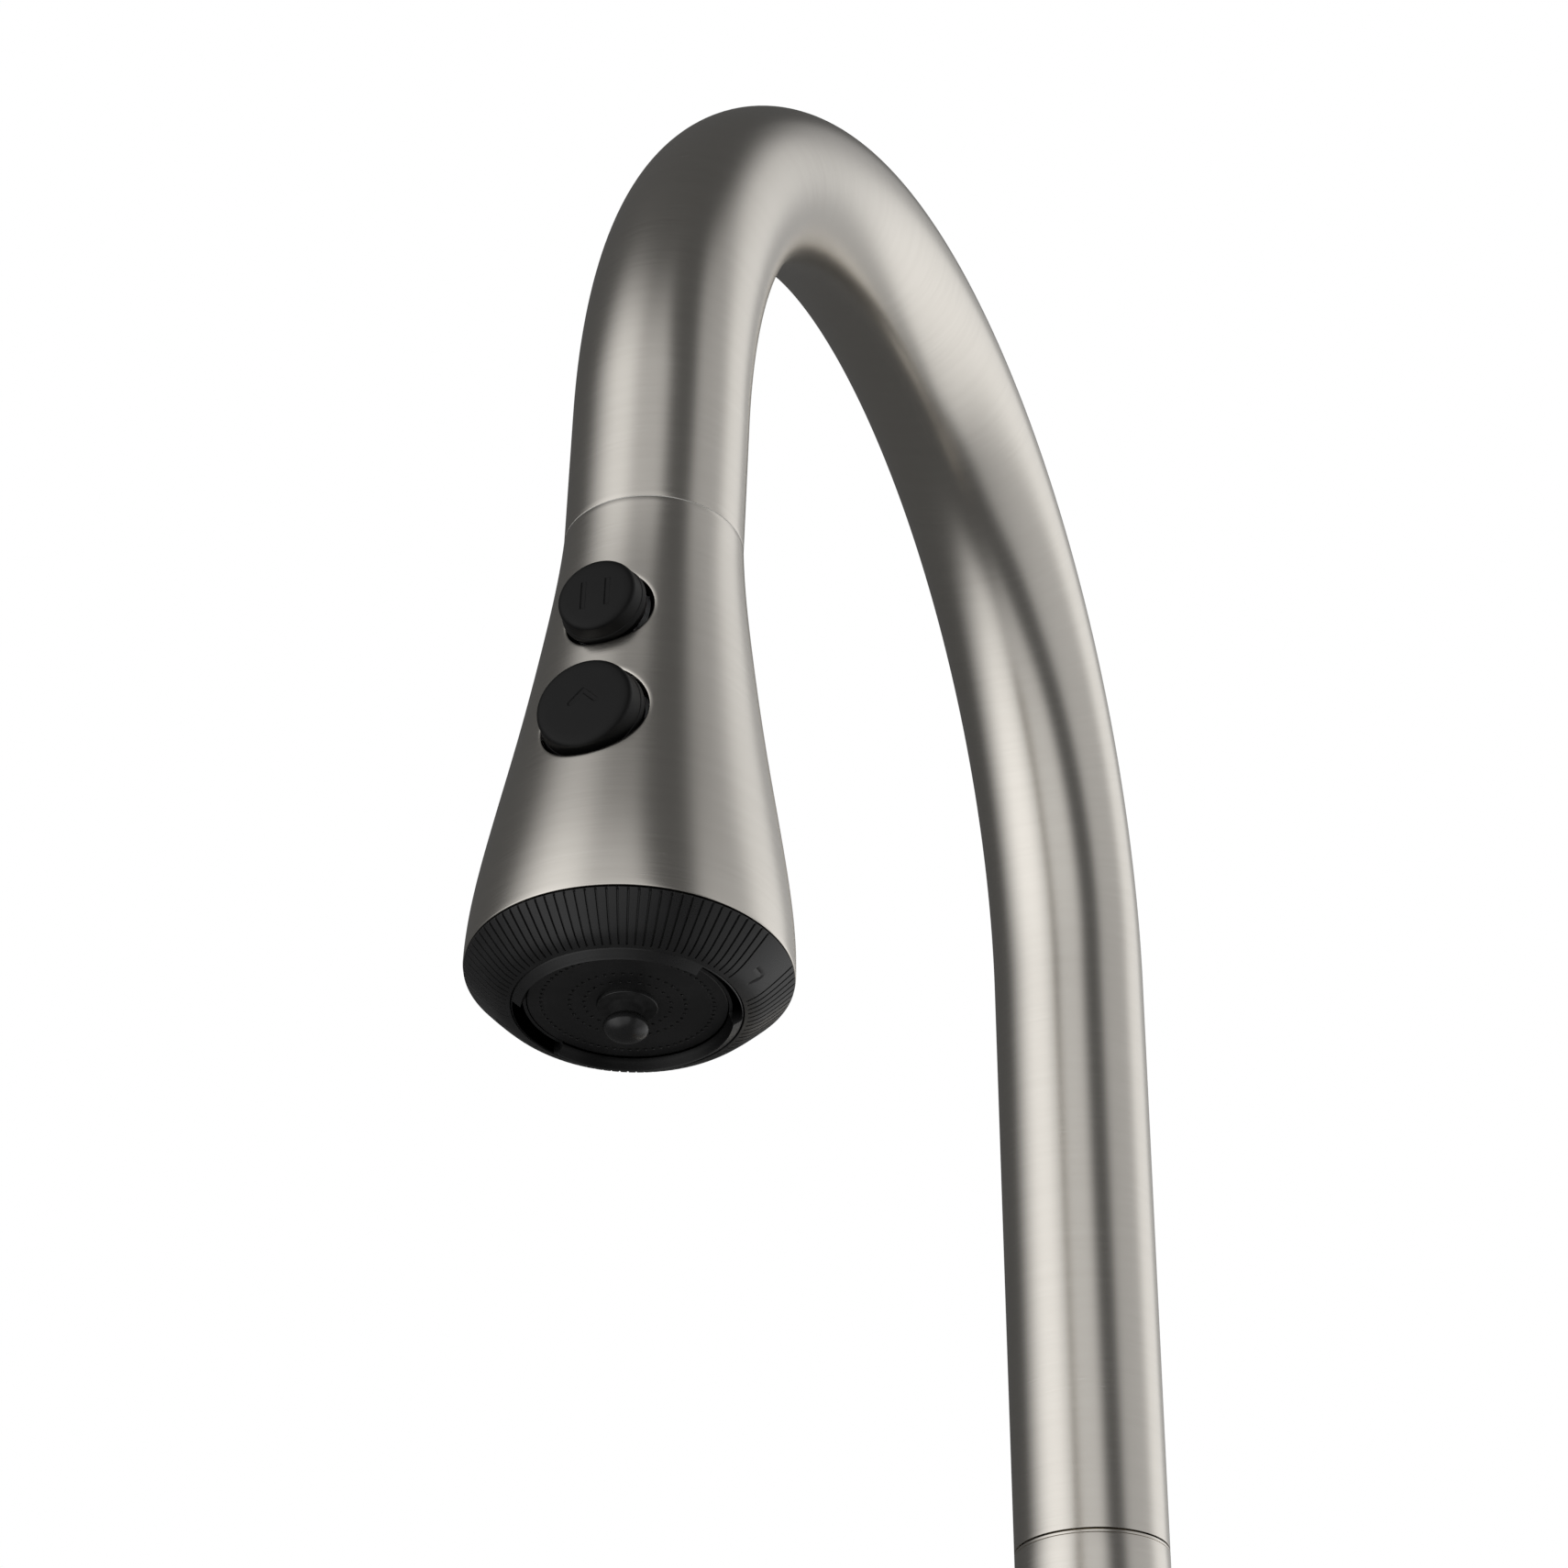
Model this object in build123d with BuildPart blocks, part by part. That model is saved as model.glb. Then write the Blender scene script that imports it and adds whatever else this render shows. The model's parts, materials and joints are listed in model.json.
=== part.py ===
from build123d import *
from math import cos, radians, sin
import os

# Pull-down kitchen faucet. Millimetres, +Z up. The spout reaches towards -Y and the lever stands on +X.
# The origin is on the worktop, on the axis of the body.

os.makedirs("parts", exist_ok=True)

# Clearances
slip = 0.3  # pieces that turn or slide on each other
seat = 0.1  # pieces that are screwed or pressed together
pin_fit = 0.1  # a pin in its hole

# Spout
tube_radius = 14.0
tube_wall = 1.2
swivel_height = 170.0  # worktop to the seam where the spout turns
riser_length = 111.8  # seam to the start of the bend
bend_radius = 100.8
bend_sweep = 172.86  # degrees
outlet_length = 25.4
spacer_thickness = 0.8

# Swivel inside the foot of the spout
post_radius = 11.0
post_wall = 3.0
post_depth = 33.0  # below the spacer ring
post_rise = 43.0  # above the spacer ring
bushing_height = 8.0
upper_bushing_rise = 30.0
clip_thickness = 1.2
clip_bite = 0.7  # depth of the groove that holds the clip
friction_ring_rise = 19.0

# Base and body
base_radius = 27.5
base_height = 6.0
gasket_thickness = 1.6
gasket_proud = 0.4  # the gasket stands this far below the base ring
gasket_inner = 20.0
gasket_outer = 25.0
body_radius = 25.5
body_wall = 3.5
belly_top = 80.0
neck_length = 20.0  # straight part below the seam where the spout turns
cavity_drop = 40.0  # that seam to the top of the cavity
set_screw_radius = 2.0
set_screw_drop = 15.0  # that seam to the set screw

# Shank and deck fixing
shank_radius = 16.5
shank_wall = 2.3
shank_drop = 60.0
shank_flange = 5.8
deck_thickness = 30.0
rubber_washer_radius = 27.0
washer_radius = 26.0
washer_thickness = 2.0
nut_across_flats = 44.0
nut_height = 12.0
lock_screw_radius = 2.0
lock_screw_circle_radius = 19.3
lock_screw_length = 20.0

# Valve, with its axis on +X
valve_height = 62.0
barrel_radius = 17.5
barrel_bore = 14.3
barrel_inner = 17.0
barrel_end = 44.0
manifold_width = 25.6
manifold_height = 28.0
manifold_back = 1.5
manifold_boss = 5.0
manifold_port = 1.8
cartridge_length = 18.0
cartridge_nut_length = 7.0
cartridge_nut_bore = 9.4
rotor_radius = 8.6
rotor_length = 7.3
stem_radius = 2.6
stem_tail = 2.2
stem_reach = 16.0
stem_pin_radius = 1.25

# Handle
dome_radius = 17.3
dome_wall = 1.5
dome_opening = 39.0  # degrees from the valve axis
hub_gap = 0.6
hub_wall = 3.3
hub_spread = 62.0  # degrees from the valve axis
hub_boss_radius = 4.6
hub_boss_start = 6.0  # from the pivot
handle_screw_radius = 1.5
index_cap_radius = 3.6
index_cap_depth = 1.6
lever_base = 5.2
lever_tip = 3.6
lever_length = 72.0
lever_lean = 4.0  # degrees away from the body
lever_out = 13.0  # from the pivot, along the valve axis
lever_up = 12.0

# Water tubes
pipe_radius = 3.2
pipe_bore = 2.2
pipe_circle_radius = 10.4
pipe_spread = 60.0  # degrees between neighbours
pipe_socket = 8.0
pipe_straight_end = -64.0
pipe_bend_radius = 20.0
pipe_bend = 40.0  # degrees out and back again
pipe_slant = 10.0
pipe_tail = 8.0
fitting_radius = 7.1
fitting_thread = 12.0
fitting_grip = 6.0
fitting_across_flats = 17.0

# Spray hose
hose_radius = 6.0
hose_bore = 3.6
hose_drop = 74.0
hose_break = 40.0  # from the head seam back to where the drawn length starts
coupling_radius = 7.5
coupling_length = 20.0
coupling_start = 36.0  # from the head seam back into the spout
hose_end_radius = 6.9
hose_end_length = 16.0
hose_gap = 1.2  # between the drawn length and the rest at the break

# Dock in the mouth of the spout
collar_length = 19.4
dock_bore = 10.3
magnet_start = 4.6
magnet_length = 3.6
spigot_radius = 9.6
spigot_reach = 16.0
spigot_lead = 1.5  # chamfer that finds the dock
nipple_radius = 5.0
nipple_length = 6.0
waterway = 3.6
strike_thickness = 1.6
flange_top = 1.0
flange_thickness = 4.0
spigot_tail_radius = 8.0
spigot_end = 9.0

# Spray head, measured along its axis from the seam
head_length = 78.0
head_middle = ((16.1, 0.2564), (19.2, 0.5128), (22.75, 0.7692))  # radius, and share of the head's length
rim_radius = 24.6
head_neck_bore = 12.4
head_neck_end = 8.0
head_skirt_bore = 22.6
head_skirt_depth = 12.0  # up from the rim
core_radius = 11.0
core_set_back = 14.0  # rim to the end of the core
core_flange_radius = 20.0
core_flange = 4.0
core_recess_radius = 9.0
core_recess = 2.5

# Buttons on the front of the head: distances are from the seam and from the head's axis
button_stem = 2.0
button_stem_depth = 4.5
button_edge = 0.7
button_skirt = 4.3  # from the boss to the back of the cap
guide_wall = 0.5
hole_margin = 0.1
guide_height = 3.3
pause_place = 22.5
pause_radius = 6.3
pause_face = 20.4
pause_boss = 11.2
pause_hole = 7.2
flow_place = 43.3
flow_radius = 7.7
flow_face = 22.3
flow_boss = 12.5
flow_hole = 8.7
relief_depth = 0.3
pause_bar_width = 0.9
pause_bar_length = 4.9
pause_bar_pitch = 3.9
chevron_width = 4.0
chevron_rise = 2.0
chevron_line = 0.8
spring_radius = 3.2
spring_wire = 0.3
spring_turns = 4.0

# Spray face, with depths measured up from the rim of the head and drops measured down from it
chamber_plate = 5.0
chamber_inner = 13.9
chamber_outer = 15.6
chamber_drop = 1.0
port_count = 6
port_circle_radius = 6.5
port_radius = 1.5
chamber_screw_circle_radius = 17.9
chamber_screw_radius = 1.1
chamber_screw_head = 2.0
shutter_depth = 3.0
shutter_thickness = 1.5
shutter_tab = 6.0
shutter_tab_reach = 21.2
ring_turn = 45.0  # degrees
window_margin = 15.0  # degrees past each tab
ring_neck_depth = 11.5
ring_neck_inner = 20.6
ring_neck_outer = 22.2
ring_shoulder = 0.15  # gap under the rim of the shell
ring_outer = 24.5
ring_brow = 0.2  # straight edge below the rim
ring_cheek_radius = 20.9  # the cone is rounded through this circle
ring_cheek_drop = 3.9
ring_lip_drop = 6.4
ring_lip_outer = 17.1
ring_bead = 0.5  # the rounded lip stands this far below the cone
ring_gap = 0.35  # round the spray disc
ring_ceiling_drop = 2.0
slot_inner = 15.5
slot_outer = 16.85
slot_depth = 1.6  # up from the face of the disc
slot_spread = 54.0  # degrees
clip_half = 0.35  # half the width and half the height of the clip's section
clip_depth = 4.5
disc_radius = 14.6
disc_drop = 5.2
disc_edge = 0.3
mat_thickness = 1.0
nozzle_radius = 0.3
nozzle_rings = ((12.8, 68), (8.6, 40), (6.4, 28))  # circle radius and number of nozzles
bolt_radius = 1.9
knob_collar_radius = 4.6
knob_collar_wall = 0.6
knob_collar = 0.35
knob_floor = 0.2
knob_neck = 2.4
knob_radius = 3.45
knob_half_height = 2.0
knob_edge = 1.9
knob_drop = 3.6

# Derived places on the body
tube_bore = tube_radius - tube_wall
body_top = swivel_height - spacer_thickness
neck_bottom = swivel_height - neck_length
cavity_top = swivel_height - cavity_drop
set_screw_height = swivel_height - set_screw_drop
bend_start = swivel_height + riser_length
bend_end_y = bend_radius * (cos(radians(bend_sweep)) - 1)
bend_end_z = bend_start + bend_radius * sin(radians(bend_sweep))
head_direction = Vector(0, -sin(radians(bend_sweep)), cos(radians(bend_sweep)))
head_seam = Vector(0, bend_end_y, bend_end_z) + head_direction * outlet_length
pivot = Vector(barrel_end, 0, valve_height)
pipe_angles = {"outlet": 0.0, "hot": pipe_spread, "cold": -pipe_spread}

# Derived places on the spray head
head_stations = [(radius, share * head_length) for radius, share in head_middle]
head_skirt_start = head_length - head_skirt_depth
core_end = head_length - core_set_back
chamber_end = head_length + chamber_drop
shutter_start = head_length - shutter_depth
ring_neck_start = head_length - ring_neck_depth
ring_lip = head_length + ring_lip_drop
ring_ceiling = head_length + ring_ceiling_drop
ring_bore = disc_radius + ring_gap
disc_face = head_length + disc_drop
clip_place = head_length - clip_depth
clip_middle = (ring_neck_outer + head_skirt_bore) / 2
groove_half = clip_half + seat

# Section planes hold a radius across and a distance along the axis, ready to be turned
upright = Plane.XZ
valve_axis = Axis((0, 0, valve_height), (1, 0, 0))
valve_plane = Plane(origin=(0, 0, valve_height), x_dir=(0, 1, 0), z_dir=(1, 0, 0))
valve_section = Plane(origin=(0, 0, valve_height), x_dir=(0, 0, 1), z_dir=(0, 1, 0))
head_axis = Axis(head_seam, head_direction)
head_plane = Plane(origin=head_seam, x_dir=(1, 0, 0), z_dir=head_direction)
head_section = Plane(origin=head_seam, x_dir=head_plane.y_dir, z_dir=(1, 0, 0))


def ring_profile(inner, outer, start, end):
    """Draw the half section of a plain ring in the sketch that is open."""
    with Locations(((inner + outer) / 2, (start + end) / 2)):
        Rectangle(outer - inner, end - start)


def button_plane(place):
    """The plane through the head's axis that a button's distances start from."""
    return Plane(origin=head_seam + head_direction * place, x_dir=(1, 0, 0), z_dir=head_plane.y_dir)


# Base ring and gasket
with BuildPart() as base_ring:
    with BuildSketch(upright) as base_sketch:
        ring_profile(shank_radius + seat, base_radius, gasket_proud, base_height)
        fillet(base_sketch.vertices().group_by(Axis.X)[-1].sort_by(Axis.Y)[-1], base_height / 3)
    revolve(axis=Axis.Z)
    with BuildSketch(upright):
        ring_profile(gasket_inner, gasket_outer, gasket_proud, gasket_thickness)
    revolve(axis=Axis.Z, mode=Mode.SUBTRACT)
base_ring.part.label = "base_ring"
export_step(base_ring.part, "parts/base_ring.step")

with BuildPart() as base_gasket:
    with BuildSketch(upright):
        ring_profile(gasket_inner + seat, gasket_outer - seat, 0, gasket_thickness)
    revolve(axis=Axis.Z)
base_gasket.part.label = "base_gasket"
export_step(base_gasket.part, "parts/base_gasket.step")

# Body casting: a straight belly, a waisted neck and the valve barrel on its side
cavity_radius = body_radius - body_wall
post_hole = post_radius + seat
with BuildPart() as body_shell:
    with BuildSketch(upright):
        with BuildLine():
            foot = Line((0, base_height), (body_radius, base_height))
            belly = Line(foot @ 1, (body_radius, belly_top))
            waist = Spline(belly @ 1, (tube_radius, neck_bottom), tangents=((0, 1), (0, 1)))
            neck = Line(waist @ 1, (tube_radius, body_top))
            crown = Line(neck @ 1, (0, body_top))
            Line(crown @ 1, foot @ 0)
        make_face()
    revolve(axis=Axis.Z)
    with BuildSketch(valve_plane.offset(barrel_inner)):
        Circle(barrel_radius)
    extrude(amount=barrel_end - barrel_inner)
    with BuildSketch(upright):
        with BuildLine():
            Polyline(
                (0, base_height),
                (cavity_radius, base_height),
                (cavity_radius, belly_top),
                (post_hole, cavity_top),
                (0, cavity_top),
                close=True,
            )
        make_face()
        ring_profile(0, post_hole, cavity_top, body_top)
    revolve(axis=Axis.Z, mode=Mode.SUBTRACT)
    with BuildSketch(valve_plane.offset(barrel_inner)):
        Circle(barrel_radius)
    extrude(amount=cavity_radius - barrel_inner)
    with BuildSketch(valve_plane.offset(barrel_inner)):
        Circle(barrel_bore)
    extrude(amount=barrel_end - barrel_inner, mode=Mode.SUBTRACT)
    with BuildSketch(Plane.ZX):
        with Locations((set_screw_height, 0)):
            Circle(set_screw_radius + pin_fit)
    extrude(amount=tube_radius + 1, mode=Mode.SUBTRACT)
body_shell.part.label = "body_shell"
export_step(body_shell.part, "parts/body_shell.step")

# Shank, with the flange that the body screws down on
shank_bore = shank_radius - shank_wall
flange_radius = cavity_radius - seat
with BuildPart() as shank:
    with BuildSketch(upright):
        ring_profile(shank_bore, shank_radius, -shank_drop, base_height + shank_flange)
        ring_profile(shank_radius, flange_radius, base_height, base_height + shank_flange)
    revolve(axis=Axis.Z)
shank.part.label = "shank"
export_step(shank.part, "parts/shank.step")

# Deck fixing under the worktop
thread_hole = shank_radius + seat
rubber_bottom = -deck_thickness - washer_thickness
washer_bottom = rubber_bottom - washer_thickness
with BuildPart() as rubber_washer:
    with BuildSketch(upright):
        ring_profile(thread_hole, rubber_washer_radius, rubber_bottom, -deck_thickness)
    revolve(axis=Axis.Z)
rubber_washer.part.label = "rubber_washer"
export_step(rubber_washer.part, "parts/rubber_washer.step")

with BuildPart() as deck_washer:
    with BuildSketch(upright):
        ring_profile(thread_hole, washer_radius, washer_bottom, rubber_bottom)
    revolve(axis=Axis.Z)
deck_washer.part.label = "deck_washer"
export_step(deck_washer.part, "parts/deck_washer.step")

with BuildPart() as mounting_nut:
    with BuildSketch(Plane.XY.offset(washer_bottom)):
        RegularPolygon(nut_across_flats / 2, 6, major_radius=False)
        Circle(thread_hole, mode=Mode.SUBTRACT)
        with PolarLocations(lock_screw_circle_radius, 2, 90):
            Circle(lock_screw_radius + pin_fit, mode=Mode.SUBTRACT)
    extrude(amount=-nut_height)
mounting_nut.part.label = "mounting_nut"
export_step(mounting_nut.part, "parts/mounting_nut.step")

with BuildPart() as lock_screws:
    with BuildSketch(Plane.XY.offset(washer_bottom)):
        with PolarLocations(lock_screw_circle_radius, 2, 90):
            Circle(lock_screw_radius)
    extrude(amount=-lock_screw_length)
    chamfer(lock_screws.edges().group_by(Axis.Z)[0], lock_screw_radius / 4)
lock_screws.part.label = "lock_screws"
export_step(lock_screws.part, "parts/lock_screws.step")

# Valve manifold: a block behind the cartridge, with a groove for the hose and sockets for the tubes
block_depth = barrel_inner - manifold_back
pipe_top = valve_height - manifold_height / 2 + pipe_socket
with BuildPart() as valve_manifold:
    with BuildSketch(valve_plane.offset(barrel_inner)):
        Rectangle(manifold_width, manifold_height)
    extrude(amount=-block_depth)
    with BuildSketch(valve_plane.offset(barrel_inner)):
        Circle(barrel_bore - seat)
    extrude(amount=manifold_boss)
    with BuildSketch(Plane.XY):
        Circle(hose_radius + 2 * slip)
    extrude(amount=2 * valve_height, mode=Mode.SUBTRACT)
    with BuildSketch(Plane.XY):
        with PolarLocations(pipe_circle_radius, 3, -pipe_spread, 3 * pipe_spread):
            Circle(pipe_radius + seat)
    extrude(amount=pipe_top, mode=Mode.SUBTRACT)
    with BuildSketch(Plane.XY):
        with PolarLocations(pipe_circle_radius, 3, -pipe_spread, 3 * pipe_spread):
            Circle(pipe_bore)
    extrude(amount=valve_height, mode=Mode.SUBTRACT)
    with BuildSketch(valve_plane.offset(barrel_inner + manifold_boss)):
        with GridLocations(pipe_circle_radius * sin(radians(pipe_spread)), 0, 3, 1):
            Circle(manifold_port)
    extrude(amount=-(manifold_boss + block_depth / 2), mode=Mode.SUBTRACT)
valve_manifold.part.label = "valve_manifold"
export_step(valve_manifold.part, "parts/valve_manifold.step")

# Cartridge and its nut
cartridge_start = barrel_inner + manifold_boss
cartridge_end = cartridge_start + cartridge_length
cartridge_nut_end = cartridge_end + cartridge_nut_length
with BuildPart() as cartridge:
    with BuildSketch(valve_section):
        ring_profile(0, barrel_bore - seat, cartridge_start, cartridge_end)
    revolve(axis=valve_axis)
cartridge.part.label = "cartridge"
export_step(cartridge.part, "parts/cartridge.step")

with BuildPart() as cartridge_nut:
    with BuildSketch(valve_section):
        ring_profile(cartridge_nut_bore, barrel_bore - seat, cartridge_end, cartridge_nut_end)
    revolve(axis=valve_axis)
cartridge_nut.part.label = "cartridge_nut"
export_step(cartridge_nut.part, "parts/cartridge_nut.step")

# Dome over the end of the barrel, centred on the pivot of the handle
with BuildPart() as dome_cap:
    with BuildSketch(valve_section):
        with BuildLine():
            dome_outer = CenterArc((0, barrel_end), dome_radius, 0, 90 - dome_opening)
            dome_inner = CenterArc((0, barrel_end), dome_radius - dome_wall, 0, 90 - dome_opening)
            Line(dome_outer @ 0, dome_inner @ 0)
            Line(dome_outer @ 1, dome_inner @ 1)
        make_face()
    revolve(axis=valve_axis)
dome_cap.part.label = "dome_cap"
export_step(dome_cap.part, "parts/dome_cap.step")

# Rotor that turns in the nut, with the stem that tips in its slot on a cross pin
rotor_start = cartridge_end + slip
rotor_end = rotor_start + rotor_length
with BuildPart() as cartridge_rotor:
    with BuildSketch(valve_section):
        ring_profile(0, rotor_radius, rotor_start, rotor_end)
    revolve(axis=valve_axis)
    with BuildSketch(valve_plane.offset(rotor_end)):
        Rectangle(2 * (stem_radius + slip), 2 * rotor_radius)
    extrude(amount=-(rotor_length - 2 * slip), mode=Mode.SUBTRACT)
    with BuildSketch(Plane.XZ.offset(-rotor_radius)):
        with Locations((pivot.X, pivot.Z)):
            Circle(stem_pin_radius)
    extrude(amount=2 * rotor_radius, mode=Mode.SUBTRACT)
cartridge_rotor.part.label = "cartridge_rotor"
export_step(cartridge_rotor.part, "parts/cartridge_rotor.step")

with BuildPart() as stem_pin:
    with BuildSketch(Plane.XZ.offset(-rotor_radius + 2 * slip)):
        with Locations((pivot.X, pivot.Z)):
            Circle(stem_pin_radius)
    extrude(amount=2 * (rotor_radius - 2 * slip))
stem_pin.part.label = "stem_pin"
export_step(stem_pin.part, "parts/stem_pin.step")

with BuildPart() as handle_stem:
    with BuildSketch(valve_section):
        ring_profile(0, stem_radius, barrel_end - stem_tail, barrel_end + stem_reach)
    revolve(axis=valve_axis)
    with BuildSketch(Plane.XZ.offset(-stem_radius)):
        with Locations((pivot.X, pivot.Z)):
            Circle(stem_pin_radius + pin_fit)
    extrude(amount=2 * stem_radius, mode=Mode.SUBTRACT)
    with BuildSketch(valve_plane.offset(barrel_end + stem_reach)):
        Circle(handle_screw_radius)
    extrude(amount=-stem_reach / 2, mode=Mode.SUBTRACT)
handle_stem.part.label = "handle_stem"
export_step(handle_stem.part, "parts/handle_stem.step")

# Handle hub: a cap that rides over the dome, with a socket for the stem
hub_inner = dome_radius + hub_gap
hub_outer = hub_inner + hub_wall
hub_pole = barrel_end + hub_outer
with BuildPart() as handle_hub:
    with BuildSketch(valve_section):
        with BuildLine():
            hub_skin = CenterArc((0, barrel_end), hub_outer, 90 - hub_spread, hub_spread)
            hub_back = CenterArc((0, barrel_end), hub_inner, 90 - hub_spread, hub_spread)
            Line(hub_skin @ 0, hub_back @ 0)
            Line(hub_skin @ 1, hub_back @ 1)
        make_face()
    revolve(axis=valve_axis)
    with BuildSketch(valve_section):
        ring_profile(0, hub_boss_radius, barrel_end + hub_boss_start, barrel_end + hub_inner + hub_gap)
    revolve(axis=valve_axis)
    with BuildSketch(valve_section):
        ring_profile(0, stem_radius + seat, barrel_end + hub_boss_start, barrel_end + stem_reach)
        ring_profile(0, handle_screw_radius + seat, barrel_end + stem_reach, hub_pole)
        ring_profile(0, index_cap_radius + seat, hub_pole - index_cap_depth, hub_pole)
    revolve(axis=valve_axis, mode=Mode.SUBTRACT)
handle_hub.part.label = "handle_hub"
export_step(handle_hub.part, "parts/handle_hub.step")

with BuildPart() as handle_screw:
    with BuildSketch(valve_section):
        ring_profile(0, handle_screw_radius, barrel_end + stem_reach * 0.6, hub_pole - index_cap_depth)
    revolve(axis=valve_axis)
handle_screw.part.label = "handle_screw"
export_step(handle_screw.part, "parts/handle_screw.step")

with BuildPart() as index_cap:
    with BuildSketch(valve_section):
        ring_profile(0, index_cap_radius, hub_pole - index_cap_depth, hub_pole)
    revolve(axis=valve_axis)
    fillet(index_cap.edges().group_by(Axis.X)[-1], index_cap_depth / 4)
index_cap.part.label = "index_cap"
export_step(index_cap.part, "parts/index_cap.step")

# Lever: a tapered bar with a rounded tip, seated on the ball of the hub
lever_direction = Vector(sin(radians(lever_lean)), 0, cos(radians(lever_lean)))
lever_foot = pivot + Vector(lever_out, 0, lever_up)
lever_section = Plane(origin=lever_foot, x_dir=(0, 1, 0), z_dir=lever_direction.cross(Vector(0, 1, 0)) * -1)
with BuildPart() as lever:
    with BuildSketch(lever_section):
        with BuildLine():
            lever_heel = Line((0, 0), (lever_base, 0))
            lever_side = Line(lever_heel @ 1, (lever_tip, lever_length - lever_tip))
            lever_top = TangentArc(lever_side @ 1, (0, lever_length), tangent=(0, 1))
            Line(lever_top @ 1, lever_heel @ 0)
        make_face()
    revolve(axis=Axis(lever_foot, lever_direction))
    with Locations(pivot):
        Sphere(hub_outer, mode=Mode.SUBTRACT)
lever.part.label = "lever"
export_step(lever.part, "parts/lever.step")

# Water tubes: down through the shank, then a set outwards under the worktop
for pipe_name, pipe_angle in pipe_angles.items():
    pipe_side = Vector(cos(radians(pipe_angle)), sin(radians(pipe_angle)), 0)
    pipe_plane = Plane(origin=(0, 0, 0), x_dir=pipe_side, z_dir=pipe_side.cross(Vector(0, 0, 1)))
    with BuildPart() as pipe:
        with BuildLine(pipe_plane) as pipe_route:
            drop = Line((pipe_circle_radius, pipe_top), (pipe_circle_radius, pipe_straight_end))
            outward = JernArc(drop @ 1, (0, -1), pipe_bend_radius, pipe_bend)
            slant = PolarLine(outward @ 1, pipe_slant, direction=outward % 1)
            back = JernArc(slant @ 1, slant % 1, pipe_bend_radius, -pipe_bend)
            tail = PolarLine(back @ 1, pipe_tail, direction=back % 1)
        with BuildSketch(Plane(origin=drop @ 0, z_dir=(0, 0, -1))):
            Circle(pipe_radius)
            Circle(pipe_bore, mode=Mode.SUBTRACT)
        sweep()
    pipe.part.label = pipe_name + "_tube"
    export_step(pipe.part, f"parts/{pipe_name}_tube.step")
    pipe_end = tail @ 1
    fitting_section = Plane(origin=pipe_end, x_dir=(1, 0, 0), z_dir=(0, -1, 0))
    with BuildPart() as fitting:
        with BuildSketch(fitting_section):
            ring_profile(pipe_bore, fitting_radius, -fitting_thread, 0)
            ring_profile(pipe_radius + seat, fitting_radius, 0, fitting_grip)
        revolve(axis=Axis(pipe_end, (0, 0, 1)))
        with BuildSketch(Plane(origin=pipe_end, z_dir=(0, 0, 1))):
            RegularPolygon(fitting_across_flats / 2, 6, major_radius=False)
            Circle(fitting_radius, mode=Mode.SUBTRACT)
        extrude(amount=fitting_grip)
        chamfer(fitting.edges().group_by(Axis.Z)[0].sort_by(SortBy.LENGTH)[-1], fitting_radius / 8)
    fitting.part.label = pipe_name + "_fitting"
    export_step(fitting.part, f"parts/{pipe_name}_fitting.step")

# Swivel: a hollow post fixed in the neck of the body, and what the spout turns on
post_foot = body_top - post_depth
post_top = body_top + post_rise
upper_bushing = swivel_height + upper_bushing_rise
clip_bottom = upper_bushing + bushing_height + slip
with BuildPart() as swivel_post:
    with BuildSketch(upright):
        ring_profile(post_radius - post_wall, post_radius, post_foot, post_top)
    revolve(axis=Axis.Z)
    with BuildSketch(upright):
        ring_profile(post_radius - clip_bite, post_radius, clip_bottom, clip_bottom + clip_thickness)
    revolve(axis=Axis.Z, mode=Mode.SUBTRACT)
    chamfer(swivel_post.edges().group_by(Axis.Z)[-1].sort_by(SortBy.LENGTH)[-1], post_wall / 4)
swivel_post.part.label = "swivel_post"
export_step(swivel_post.part, "parts/swivel_post.step")

with BuildPart() as post_set_screw:
    with BuildSketch(Plane.ZX.offset(post_hole)):
        with Locations((set_screw_height, 0)):
            Circle(set_screw_radius)
    extrude(amount=tube_radius - post_hole - slip)
post_set_screw.part.label = "post_set_screw"
export_step(post_set_screw.part, "parts/post_set_screw.step")

with BuildPart() as spacer_ring:
    with BuildSketch(upright):
        ring_profile(post_radius + seat, tube_radius, body_top, swivel_height)
    revolve(axis=Axis.Z)
spacer_ring.part.label = "spacer_ring"
export_step(spacer_ring.part, "parts/spacer_ring.step")

with BuildPart() as lower_bushing:
    with BuildSketch(upright):
        ring_profile(post_radius + pin_fit, tube_bore - seat, swivel_height, swivel_height + bushing_height)
    revolve(axis=Axis.Z)
lower_bushing.part.label = "lower_bushing"
export_step(lower_bushing.part, "parts/lower_bushing.step")

with BuildPart() as upper_bushing_ring:
    with BuildSketch(upright):
        ring_profile(post_radius + pin_fit, tube_bore - seat, upper_bushing, upper_bushing + bushing_height)
    revolve(axis=Axis.Z)
upper_bushing_ring.part.label = "upper_bushing"
export_step(upper_bushing_ring.part, "parts/upper_bushing.step")

friction_wire = (tube_bore - post_radius - slip) / 2
with BuildPart() as friction_ring:
    with BuildSketch(upright):
        with Locations((post_radius + friction_wire, swivel_height + friction_ring_rise)):
            Circle(friction_wire)
    revolve(axis=Axis.Z)
friction_ring.part.label = "friction_ring"
export_step(friction_ring.part, "parts/friction_ring.step")

with BuildPart() as retaining_clip:
    with BuildSketch(upright):
        ring_profile(post_radius - clip_bite, tube_bore - slip, clip_bottom, clip_bottom + clip_thickness)
    revolve(axis=Axis.Z)
retaining_clip.part.label = "retaining_clip"
export_step(retaining_clip.part, "parts/retaining_clip.step")

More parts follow.
